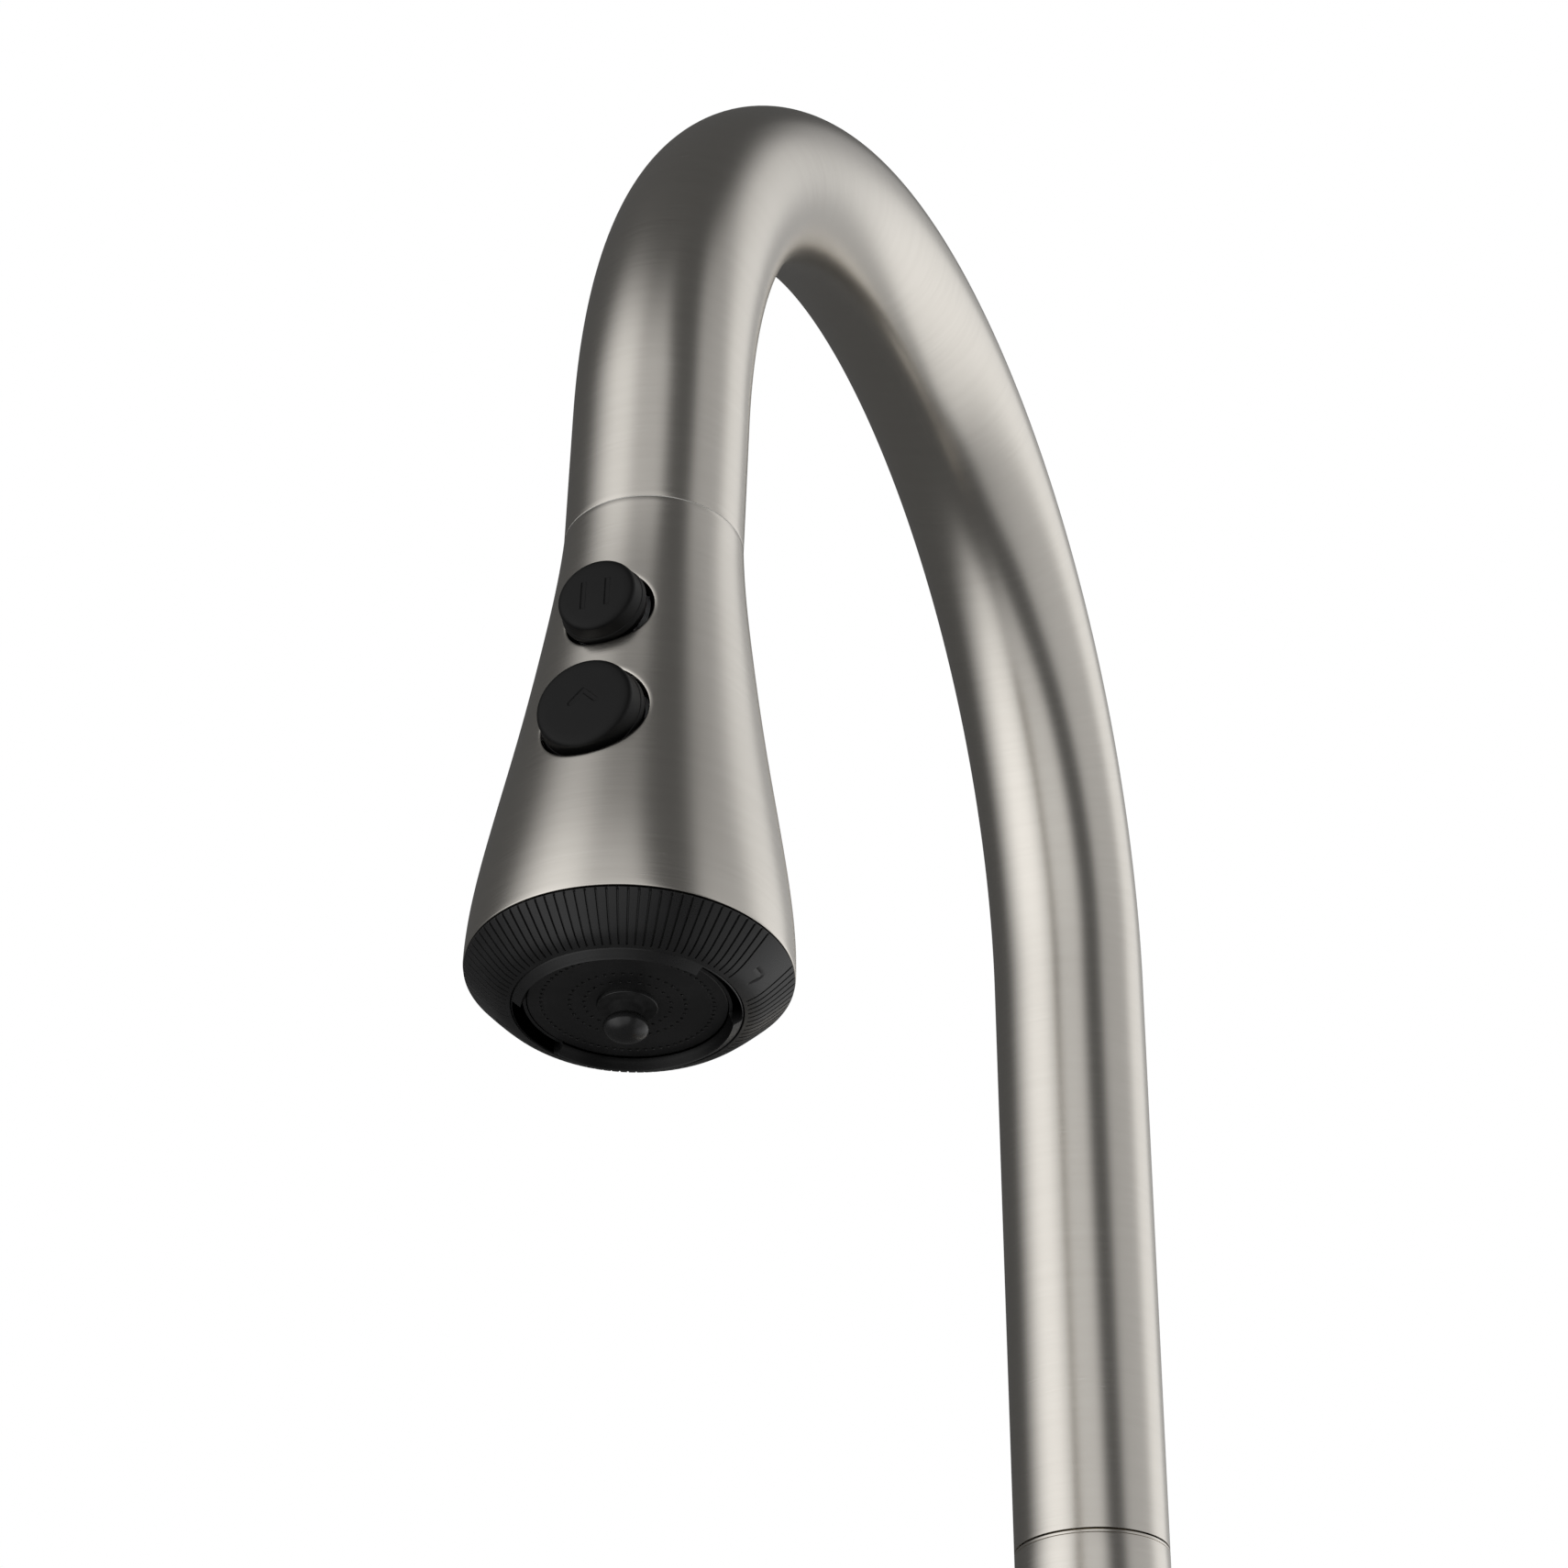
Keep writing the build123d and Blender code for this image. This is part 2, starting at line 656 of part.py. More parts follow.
# Spout tube: riser, bend and outlet run in one
with BuildPart() as spout_tube:
    with BuildLine(Plane.YZ):
        riser = Line((0, swivel_height), (0, bend_start))
        bend = JernArc(riser @ 1, riser % 1, bend_radius, bend_sweep)
        outlet = PolarLine(bend @ 1, outlet_length, direction=bend % 1)
    with BuildSketch(Plane.XY.offset(swivel_height)):
        Circle(tube_radius)
        Circle(tube_bore, mode=Mode.SUBTRACT)
    sweep()
spout_tube.part.label = "spout_tube"
export_step(spout_tube.part, "parts/spout_tube.step")

# Dock in the mouth of the spout
with BuildPart() as dock_collar:
    with BuildSketch(head_section):
        ring_profile(dock_bore, tube_bore - seat, -magnet_start - collar_length, -magnet_start)
    revolve(axis=head_axis)
dock_collar.part.label = "dock_collar"
export_step(dock_collar.part, "parts/dock_collar.step")

with BuildPart() as dock_magnet:
    with BuildSketch(head_section):
        ring_profile(dock_bore, tube_bore - seat, -magnet_start, magnet_length - magnet_start)
    revolve(axis=head_axis)
dock_magnet.part.label = "dock_magnet"
export_step(dock_magnet.part, "parts/dock_magnet.step")

# Hose: from the underside up the shank, the post and the riser, and round the bend
drawn_sweep = bend_sweep - (hose_break - outlet_length) / radians(1) / bend_radius
with BuildPart() as spray_hose:
    with BuildLine(Plane.YZ):
        hose_riser = Line((0, -hose_drop), (0, bend_start))
        hose_bend = JernArc(hose_riser @ 1, hose_riser % 1, bend_radius, drawn_sweep)
    with BuildSketch(Plane.XY.offset(-hose_drop)):
        Circle(hose_radius)
        Circle(hose_bore, mode=Mode.SUBTRACT)
    sweep()
spray_hose.part.label = "spray_hose"
export_step(spray_hose.part, "parts/spray_hose.step")

with BuildPart() as hose_end:
    with BuildSketch(upright):
        ring_profile(hose_radius + seat, hose_end_radius, -hose_drop, hose_end_length / 2 - hose_drop)
        ring_profile(hose_bore, hose_end_radius, -hose_drop - hose_end_length / 2, -hose_drop)
    revolve(axis=Axis.Z)
hose_end.part.label = "hose_end"
export_step(hose_end.part, "parts/hose_end.step")

# The length of hose that is drawn out with the head, and its coupling
coupling_end = coupling_length - coupling_start
nipple_top = -spigot_reach - nipple_length
with BuildPart() as hose_tail:
    with BuildSketch(head_section):
        ring_profile(hose_bore, hose_radius, hose_gap - hose_break, nipple_top - seat)
    revolve(axis=head_axis)
hose_tail.part.label = "hose_tail"
export_step(hose_tail.part, "parts/hose_tail.step")

with BuildPart() as hose_coupling:
    with BuildSketch(head_section):
        ring_profile(hose_radius + seat, coupling_radius, -coupling_start, nipple_top)
        ring_profile(nipple_radius + seat, coupling_radius, nipple_top, coupling_end - seat)
    revolve(axis=head_axis)
hose_coupling.part.label = "hose_coupling"
export_step(hose_coupling.part, "parts/hose_coupling.step")

# Spigot on the head, which plugs into the dock, with its strike ring and check valve
flange_bottom = flange_top + flange_thickness
with BuildPart() as dock_spigot:
    with BuildSketch(head_section):
        ring_profile(waterway, nipple_radius, nipple_top, -spigot_reach)
        ring_profile(waterway, spigot_radius, -spigot_reach, flange_top)
        ring_profile(waterway, head_neck_bore - seat, flange_top, flange_bottom)
        ring_profile(waterway, spigot_tail_radius, flange_bottom, spigot_end)
    revolve(axis=head_axis)
    spigot_rims = dock_spigot.edges().filter_by(GeomType.CIRCLE)
    spigot_rims = spigot_rims.filter_by(lambda rim: abs(rim.radius - spigot_radius) < seat)
    chamfer(spigot_rims.sort_by(Axis.Z)[-1], spigot_lead)
dock_spigot.part.label = "dock_spigot"
export_step(dock_spigot.part, "parts/dock_spigot.step")

with BuildPart() as strike_ring:
    with BuildSketch(head_section):
        ring_profile(spigot_radius + seat, head_neck_bore - seat, flange_top - strike_thickness, flange_top)
    revolve(axis=head_axis)
strike_ring.part.label = "strike_ring"
export_step(strike_ring.part, "parts/strike_ring.step")

with BuildPart() as check_valve:
    with BuildSketch(head_section):
        ring_profile(waterway / 2, waterway - seat, -spigot_reach / 2, flange_bottom)
    revolve(axis=head_axis)
check_valve.part.label = "check_valve"
export_step(check_valve.part, "parts/check_valve.step")

# Shell of the spray head: a flared skin with two button holes in its front
with BuildPart() as head_shell:
    with BuildSketch(head_section):
        with BuildLine():
            flare = Spline(
                (tube_radius, slip),
                *head_stations,
                (rim_radius, head_length),
                tangents=((0.05, 1), (0, 1)),
            )
            Polyline(
                flare @ 1,
                (head_skirt_bore, head_length),
                (head_skirt_bore, head_skirt_start),
                (head_neck_bore, head_neck_end),
                (head_neck_bore, slip),
                flare @ 0,
            )
        make_face()
    revolve(axis=head_axis)
    for place, hole in ((pause_place, pause_hole), (flow_place, flow_hole)):
        with BuildSketch(button_plane(place)):
            Circle(hole)
        extrude(amount=2 * rim_radius, mode=Mode.SUBTRACT)
    with BuildSketch(head_section):
        with Locations((clip_middle, clip_place)):
            Rectangle(2 * groove_half, 2 * groove_half)
    revolve(axis=head_axis, mode=Mode.SUBTRACT)
head_shell.part.label = "head_shell"
export_step(head_shell.part, "parts/head_shell.step")

# Waterway core, with a boss behind each button and a flange for the spray chamber
with BuildPart() as waterway_core:
    with BuildSketch(head_section):
        ring_profile(0, core_radius, spigot_end, core_end - core_flange)
        ring_profile(0, core_flange_radius, core_end - core_flange, core_end)
    revolve(axis=head_axis)
    for place, hole, boss in ((pause_place, pause_hole, pause_boss), (flow_place, flow_hole, flow_boss)):
        with BuildSketch(button_plane(place)):
            Circle(hole - hole_margin)
        extrude(amount=boss)
    with BuildSketch(head_section):
        ring_profile(0, waterway, spigot_end, core_end)
        ring_profile(0, core_recess_radius, core_end - core_recess, core_end)
    revolve(axis=head_axis, mode=Mode.SUBTRACT)
    for place in (pause_place, flow_place):
        with BuildSketch(button_plane(place)):
            Circle(button_stem + pin_fit)
        extrude(amount=core_flange_radius, mode=Mode.SUBTRACT)
    with BuildSketch(head_plane.offset(core_end)):
        with PolarLocations(chamber_screw_circle_radius, 3, 30):
            Circle(chamber_screw_radius)
    extrude(amount=-core_flange, mode=Mode.SUBTRACT)
waterway_core.part.label = "waterway_core"
export_step(waterway_core.part, "parts/waterway_core.step")

# Buttons, each with a stem in the core, a guide sleeve in the shell's hole and a return spring
with BuildPart() as pause_button:
    with BuildSketch(button_plane(pause_place).offset(pause_boss + button_skirt)):
        Circle(pause_radius)
    extrude(amount=pause_face - pause_boss - button_skirt)
    fillet(pause_button.faces().sort_by(Axis(head_seam, head_plane.y_dir))[-1].edges(), button_edge)
    with BuildSketch(button_plane(pause_place).offset(pause_face)):
        with GridLocations(pause_bar_pitch, 0, 2, 1):
            Rectangle(pause_bar_width, pause_bar_length)
    extrude(amount=-relief_depth, mode=Mode.SUBTRACT)
    with BuildSketch(button_plane(pause_place).offset(pause_boss + button_skirt)):
        Circle(button_stem)
    extrude(amount=-(button_stem_depth + button_skirt))
pause_button.part.label = "pause_button"
export_step(pause_button.part, "parts/pause_button.step")

with BuildPart() as flow_button:
    with BuildSketch(button_plane(flow_place).offset(flow_boss + button_skirt)):
        Circle(flow_radius)
    extrude(amount=flow_face - flow_boss - button_skirt)
    fillet(flow_button.faces().sort_by(Axis(head_seam, head_plane.y_dir))[-1].edges(), button_edge)
    with BuildSketch(button_plane(flow_place).offset(flow_face)):
        with BuildLine():
            Polyline((-chevron_width / 2, 0), (0, chevron_rise), (chevron_width / 2, 0))
            offset(amount=chevron_line / 2)
        make_face()
    extrude(amount=-relief_depth, mode=Mode.SUBTRACT)
    with BuildSketch(button_plane(flow_place).offset(flow_boss + button_skirt)):
        Circle(button_stem)
    extrude(amount=-(button_stem_depth + button_skirt))
flow_button.part.label = "flow_button"
export_step(flow_button.part, "parts/flow_button.step")

for button, place, boss, hole in (
    ("pause", pause_place, pause_boss, pause_hole),
    ("flow", flow_place, flow_boss, flow_hole),
):
    with BuildPart() as guide:
        with BuildSketch(button_plane(place).offset(boss)):
            Circle(hole - hole_margin)
            Circle(hole - hole_margin - guide_wall, mode=Mode.SUBTRACT)
        extrude(amount=guide_height)
    guide.part.label = button + "_guide"
    export_step(guide.part, f"parts/{button}_guide.step")
    spring_height = button_skirt - 2 * spring_wire
    spring_foot = head_seam + head_direction * place + head_plane.y_dir * (boss + spring_wire)
    with BuildPart() as spring:
        with BuildLine():
            coil = Helix(
                spring_height / spring_turns,
                spring_height,
                spring_radius,
                center=spring_foot,
                direction=head_plane.y_dir,
            )
        with BuildSketch(Plane(origin=coil @ 0, z_dir=coil % 0)):
            Circle(spring_wire)
        sweep()
    spring.part.label = button + "_spring"
    export_step(spring.part, f"parts/{button}_spring.step")

# Clip that lets the ribbed ring turn in the skirt of the shell, in a groove that both share
with BuildPart() as ring_clip:
    with BuildSketch(head_section):
        with Locations((clip_middle, clip_place)):
            Rectangle(2 * clip_half, 2 * clip_half)
    revolve(axis=head_axis)
ring_clip.part.label = "ring_clip"
export_step(ring_clip.part, "parts/ring_clip.step")

# Spray chamber: a plate on the core's flange and a wall that carries the spray disc
chamber_top = core_end + chamber_plate
shutter_end = shutter_start + shutter_thickness
with BuildPart() as spray_chamber:
    with BuildSketch(head_section):
        ring_profile(0, ring_neck_inner - pin_fit, core_end, chamber_top)
        ring_profile(chamber_inner, chamber_outer, chamber_top, chamber_end)
    revolve(axis=head_axis)
    with BuildSketch(head_plane.offset(core_end)):
        with PolarLocations(port_circle_radius, port_count):
            Circle(port_radius)
        with PolarLocations(chamber_screw_circle_radius, 3, 30):
            Circle(chamber_screw_radius + seat)
        Circle(bolt_radius + seat)
    extrude(amount=chamber_plate, mode=Mode.SUBTRACT)
    with BuildSketch(head_plane.offset(shutter_start - slip)):
        for window_start in (-window_margin, 180 - window_margin):
            with BuildLine():
                window_rim = CenterArc((0, 0), chamber_outer + 1, window_start, ring_turn + 2 * window_margin)
                Line((0, 0), window_rim @ 0)
                Line((0, 0), window_rim @ 1)
            make_face()
    extrude(amount=shutter_thickness + 2 * slip, mode=Mode.SUBTRACT)
spray_chamber.part.label = "spray_chamber"
export_step(spray_chamber.part, "parts/spray_chamber.step")

with BuildPart() as chamber_screws:
    with BuildSketch(head_plane.offset(core_end - core_flange + seat)):
        with PolarLocations(chamber_screw_circle_radius, 3, 30):
            Circle(chamber_screw_radius)
    extrude(amount=core_flange + chamber_plate)
    with BuildSketch(head_plane.offset(chamber_top)):
        with PolarLocations(chamber_screw_circle_radius, 3, 30):
            Circle(chamber_screw_head)
    extrude(amount=chamber_screw_head)
chamber_screws.part.label = "chamber_screws"
export_step(chamber_screws.part, "parts/chamber_screws.step")

# Shutter that chooses the spray, turned by its two tabs in the ribbed ring
with BuildPart() as mode_shutter:
    with BuildSketch(head_plane.offset(shutter_start)):
        Circle(chamber_inner - slip)
        Rectangle(2 * shutter_tab_reach, shutter_tab)
        with PolarLocations(port_circle_radius, port_count):
            Circle(port_radius, mode=Mode.SUBTRACT)
        Circle(bolt_radius + slip, mode=Mode.SUBTRACT)
    extrude(amount=shutter_thickness)
mode_shutter.part.label = "mode_shutter"
export_step(mode_shutter.part, "parts/mode_shutter.step")

# Ribbed ring round the spray face, its lip cut down to the disc on each side for a crescent slot
ring_top = head_length + ring_shoulder
with BuildPart() as bezel_ring:
    with BuildSketch(head_section):
        with BuildLine():
            neck_wall = Polyline(
                (ring_neck_inner, ring_neck_start),
                (ring_neck_outer, ring_neck_start),
                (ring_neck_outer, ring_top),
                (ring_outer, ring_top),
                (ring_outer, ring_top + ring_brow),
            )
            cone = ThreePointArc(
                neck_wall @ 1,
                (ring_cheek_radius, head_length + ring_cheek_drop),
                (ring_lip_outer, ring_lip),
            )
            bead = ThreePointArc(
                cone @ 1,
                ((ring_lip_outer + ring_bore) / 2, ring_lip + ring_bead),
                (ring_bore, ring_lip + ring_bead / 2),
            )
            Polyline(
                bead @ 1,
                (ring_bore, ring_ceiling),
                (ring_neck_inner, ring_ceiling),
                neck_wall @ 0,
            )
        make_face()
    revolve(axis=head_axis)
    with BuildSketch(head_plane.offset(ring_neck_start)):
        Rectangle(2 * (shutter_tab_reach + seat), shutter_tab + 2 * seat)
        Circle(ring_neck_inner - slip, mode=Mode.SUBTRACT)
    extrude(amount=shutter_end + seat - ring_neck_start, mode=Mode.SUBTRACT)
    for slot_floor, slot_wall in ((disc_face, 0), (disc_face - slot_depth, slot_inner)):
        with BuildSketch(head_plane.offset(slot_floor)):
            for slot_middle in (0, 180):
                with BuildLine():
                    slot_rim = CenterArc((0, 0), slot_outer, slot_middle - slot_spread / 2, slot_spread)
                    Line((0, 0), slot_rim @ 0)
                    Line((0, 0), slot_rim @ 1)
                make_face()
            if slot_wall:
                Circle(slot_wall, mode=Mode.SUBTRACT)
        extrude(amount=ring_lip + 2 * ring_bead - slot_floor, mode=Mode.SUBTRACT)
    with BuildSketch(head_section):
        with Locations((clip_middle, clip_place)):
            Rectangle(2 * groove_half, 2 * groove_half)
    revolve(axis=head_axis, mode=Mode.SUBTRACT)
bezel_ring.part.label = "bezel_ring"
export_step(bezel_ring.part, "parts/bezel_ring.step")

# Spray disc and the rubber mat behind it, with matching rings of nozzles
with BuildPart() as nozzle_mat:
    with BuildSketch(head_plane.offset(chamber_end)):
        Circle(chamber_inner - seat)
        Circle(bolt_radius + seat, mode=Mode.SUBTRACT)
        for nozzle_circle, nozzle_count in nozzle_rings:
            with PolarLocations(nozzle_circle, nozzle_count):
                Circle(nozzle_radius, mode=Mode.SUBTRACT)
    extrude(amount=-mat_thickness)
nozzle_mat.part.label = "nozzle_mat"
export_step(nozzle_mat.part, "parts/nozzle_mat.step")

with BuildPart() as spray_disc:
    with BuildSketch(head_plane.offset(chamber_end)):
        Circle(disc_radius)
        Circle(bolt_radius + seat, mode=Mode.SUBTRACT)
        for nozzle_circle, nozzle_count in nozzle_rings:
            with PolarLocations(nozzle_circle, nozzle_count):
                Circle(nozzle_radius, mode=Mode.SUBTRACT)
    extrude(amount=disc_face - chamber_end)
    disc_rim = spray_disc.faces().sort_by(Axis(head_seam, head_direction))[-1].outer_wire()
    fillet(disc_rim.edges(), disc_edge)
spray_disc.part.label = "spray_disc"
export_step(spray_disc.part, "parts/spray_disc.step")

# Bolt through the middle of the face: a dished collar, a neck and a rounded knob for its head
knob_centre = disc_face + knob_drop
with BuildPart() as centre_bolt:
    with BuildSketch(head_section):
        ring_profile(0, bolt_radius, core_end + slip, disc_face)
        ring_profile(0, knob_collar_radius, disc_face, disc_face + knob_floor)
        ring_profile(knob_collar_radius - knob_collar_wall, knob_collar_radius, disc_face, disc_face + knob_collar)
        ring_profile(0, knob_neck, disc_face, knob_centre)
    revolve(axis=head_axis)
    with BuildSketch(head_section):
        ring_profile(0, knob_radius, knob_centre - knob_half_height, knob_centre + knob_half_height)
        fillet(vertices().group_by(Axis.X)[-1], knob_edge)
    revolve(axis=head_axis)
centre_bolt.part.label = "centre_bolt"
export_step(centre_bolt.part, "parts/centre_bolt.step")
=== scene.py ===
"""Pull-down kitchen faucet in brushed nickel: its visible skins, finishes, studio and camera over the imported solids.

Sizes are in millimetres in the classes and in metres in the meshes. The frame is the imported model's own: the origin
is on the worktop on the axis of the body, +Z is up, the spout reaches towards -Y and the lever stands on +X.
"""

import json
import logging
import math
from abc import ABC, abstractmethod
from dataclasses import dataclass
from enum import Enum
from typing import Any, Callable, Sequence

import bmesh
import bpy
import numpy as np
from mathutils import Matrix
from numpy.typing import NDArray


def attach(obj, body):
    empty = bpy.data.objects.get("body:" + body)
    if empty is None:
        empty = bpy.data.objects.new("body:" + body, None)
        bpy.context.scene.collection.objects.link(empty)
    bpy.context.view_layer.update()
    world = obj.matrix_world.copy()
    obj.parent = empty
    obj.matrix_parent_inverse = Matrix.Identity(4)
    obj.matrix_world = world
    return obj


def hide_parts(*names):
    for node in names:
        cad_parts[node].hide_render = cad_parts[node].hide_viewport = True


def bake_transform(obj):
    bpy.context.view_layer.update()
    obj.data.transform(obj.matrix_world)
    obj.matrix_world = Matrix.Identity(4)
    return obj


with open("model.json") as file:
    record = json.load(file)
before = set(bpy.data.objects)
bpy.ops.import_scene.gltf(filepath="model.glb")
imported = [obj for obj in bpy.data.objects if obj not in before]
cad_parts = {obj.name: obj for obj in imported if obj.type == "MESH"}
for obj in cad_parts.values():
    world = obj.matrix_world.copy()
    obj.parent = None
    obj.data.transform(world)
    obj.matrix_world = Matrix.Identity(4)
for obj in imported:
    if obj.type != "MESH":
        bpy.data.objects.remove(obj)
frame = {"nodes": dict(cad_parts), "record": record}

Array = NDArray[np.float64]
Colour = tuple[float, float, float]
Point = tuple[float, float, float]
Place = tuple[float, float]
Shape = Callable[[Array, Array, Array], tuple[Array, Array]]

MM = 0.001
NEAR = 0.01  # millimetres within which a row lies on a surface
DEGREES = 180.0 / math.pi
WELD = 0.000002  # metres within which two points become one
SHARP = 38.0  # degrees beyond which an edge is not smoothed
log = logging.getLogger("faucet")


class Body(Enum):
    """The bodies that pieces ride on."""

    BASE = "body"
    SPOUT = "spout"
    HEAD = "spray_head"
    PAUSE = "pause_button"
    FLOW = "flow_button"
    RING = "spray_ring"
    HANDLE = "handle"


class Slot(Enum):
    """The record's material slots."""

    NICKEL = "nickel"
    BRASS = "brass"
    COPPER = "copper"
    STAINLESS = "stainless"
    BLACK = "black_plastic"
    GREY = "grey_plastic"
    MAGNET = "magnet"
    RUBBER = "rubber"
    BRAID = "hose_braid"


class Symbol(Enum):
    """What is pressed into the face of a button."""

    BARS = "two upright bars"
    CHEVRON = "an upward chevron"


class Pattern(Enum):
    """Where a finish takes its surface coordinates from."""

    SURFACE = "the piece's own map: turns round its axis and metres along it"
    UPRIGHT = "object coordinates round the upright axis"


# Surfaces


def smooth(value: Array, low: float, high: float) -> Array:
    """Rise from 0 at low to 1 at high along 3t^2 - 2t^3.

    Args:
        value: The numbers to map.
        low: Where the rise starts.
        high: Where it ends.

    Returns:
        The share of the rise at each number.
    """
    share = np.clip((value - low) / (high - low), 0.0, 1.0)
    return share * share * (3.0 - 2.0 * share)


def wrapped(angle: Array, middle: float) -> Array:
    """Angles in radians measured from a middle given in degrees, between -pi and pi."""
    return (angle - math.radians(middle) + np.pi) % (2.0 * np.pi) - np.pi


def rounded(corners: Sequence[Point], closed: bool = False, steps: int = 5) -> Array:
    """A profile whose corners are rounded by circular arcs tangent to both sides.

    Args:
        corners: Radius, distance and rounding of each corner.
        closed: Whether the last corner joins the first.
        steps: How many pieces each arc has.

    Returns:
        Rows of radius and distance; a closed profile repeats its first row.
    """
    places = np.array([corner[:2] for corner in corners], float)
    count = len(corners)
    pieces: list[Array] = []
    for index, corner in enumerate(corners):
        if corner[2] == 0 or (not closed and index in (0, count - 1)):
            pieces.append(places[index : index + 1])
            continue
        back = places[index - 1] - places[index]
        ahead = places[(index + 1) % count] - places[index]
        back_length, ahead_length = np.linalg.norm(back), np.linalg.norm(ahead)
        back, ahead = back / back_length, ahead / ahead_length
        half = 0.5 * math.acos(float(np.clip(back @ ahead, -1.0, 1.0)))
        reach = min(corner[2] / math.tan(half), 0.49 * back_length, 0.49 * ahead_length)
        bisector = (back + ahead) / np.linalg.norm(back + ahead)
        centre = places[index] + bisector * reach / math.cos(half)
        first, last = places[index] + back * reach - centre, places[index] + ahead * reach - centre
        sweep = math.pi - 2.0 * half
        share = np.linspace(0.0, 1.0, steps + 1)[:, None]
        pieces.append(centre + (np.sin((1 - share) * sweep) * first + np.sin(share * sweep) * last) / math.sin(sweep))
    profile = np.concatenate(pieces)
    return np.vstack([profile, profile[:1]]) if closed else profile


def walked(profile: Array) -> Array:
    """How far along a profile each of its rows is."""
    return np.concatenate([[0.0], np.cumsum(np.linalg.norm(np.diff(profile, axis=0), axis=1))])


def refined(profile: Array, step: float) -> Array:
    """The same profile with extra rows, so that none is further than a step from the next.

    Args:
        profile: Rows of radius and distance.
        step: The furthest that two rows may be apart.

    Returns:
        The denser profile.
    """
    length = walked(profile)
    dense = np.union1d(length, np.linspace(0.0, length[-1], int(length[-1] / step) + 2))
    return np.stack([np.interp(dense, length, profile[:, 0]), np.interp(dense, length, profile[:, 1])], axis=1)


def spline(places: Sequence[Place], first: Place, last: Place, count: int) -> Array:
    """A clamped cubic spline through places, with the chord length as its parameter.

    The slopes at the places solve the usual tridiagonal system, and each span is a cubic Hermite curve.

    Args:
        places: Radius and distance of each place.
        first: Direction of the curve at its start, in radius and distance.
        last: Direction at its end.
        count: How many rows the curve has.

    Returns:
        Rows of radius and distance.
    """
    nodes = np.array(places, float)
    spans = np.linalg.norm(np.diff(nodes, axis=0), axis=1)
    size = len(nodes)
    system, target = np.eye(size), np.zeros((size, 2))
    target[0] = np.array(first) / np.linalg.norm(first)
    target[-1] = np.array(last) / np.linalg.norm(last)
    inner = np.arange(1, size - 1)
    before, after = spans[:-1], spans[1:]
    system[inner, inner - 1], system[inner, inner], system[inner, inner + 1] = after, 2 * (before + after), before
    steps = np.diff(nodes, axis=0) / spans[:, None]
    target[1:-1] = 3 * (after[:, None] * steps[:-1] + before[:, None] * steps[1:])
    slopes = np.linalg.solve(system, target)
    knots = walked(nodes)
    place = np.linspace(0.0, knots[-1], count)
    span = np.clip(np.searchsorted(knots, place, side="right") - 1, 0, size - 2)
    share, width = ((place - knots[span]) / spans[span])[:, None], spans[span][:, None]
    return (
        (1 + 2 * share) * (1 - share) ** 2 * nodes[span]
        + share * (1 - share) ** 2 * width * slopes[span]
        + share**2 * (3 - 2 * share) * nodes[span + 1]
        + share**2 * (share - 1) * width * slopes[span + 1]
    )


def arc(centre: Place, radius: float, start: float, end: float, steps: int) -> Array:
    """Profile rows on a circle: the angle in degrees runs from the axis's direction (0) outwards (90)."""
    angle = np.radians(np.linspace(start, end, steps + 1))
    return np.stack([centre[0] + radius * np.sin(angle), centre[1] + radius * np.cos(angle)], axis=1)


def stroke(x: Array, y: Array, first: Place, last: Place) -> Array:
    """The distance from each point to a straight stroke between two places.

    Args:
        x: Places across.
        y: Places upwards.
        first: One end of the stroke.
        last: Its other end.

    Returns:
        The distances.
    """
    way = np.array(last) - np.array(first)
    share = np.clip(((x - first[0]) * way[0] + (y - first[1]) * way[1]) / (way @ way), 0.0, 1.0)
    return np.hypot(x - first[0] - share * way[0], y - first[1] - share * way[1])


def hexagon_radius(angle: Array, flats: float) -> Array:
    """The radius of a hexagon: half its width over the flats, over the cosine from the nearest flat's middle."""
    return flats / 2.0 / np.cos((angle + np.pi / 6.0) % (np.pi / 3.0) - np.pi / 6.0)


def thread_share(angle: Array, distance: Array, pitch: float) -> Array:
    """How deep a rounded thread is, from 0 to 1: a cosine of the distance over the pitch less the turns."""
    return 0.5 - 0.5 * np.cos(2.0 * np.pi * distance / pitch - angle)


@dataclass(frozen=True)
class Axes:
    """A place with three square directions, in which a piece's sizes are given."""

    origin: Point
    across: Point
    front: Point
    along: Point

    def place(self, points: Array) -> Array:
        """Origin plus the sizes across, to the front and along, in metres in the model's frame."""
        return (np.array(self.origin) + points @ np.array([self.across, self.front, self.along])) * MM

    def moved(self, across: float = 0.0, front: float = 0.0, along: float = 0.0) -> "Axes":
        """The same directions from another origin, given in these axes."""
        shift = np.array([across, front, along]) @ np.array([self.across, self.front, self.along])
        return Axes(tuple(np.array(self.origin) + shift), self.across, self.front, self.along)


@dataclass
class Sheet:
    """A grid of points in metres, with turns round its axis and metres along it as surface coordinates."""

    points: Array
    turns: Array
    along: Array
    kept: NDArray[np.bool_] | None = None


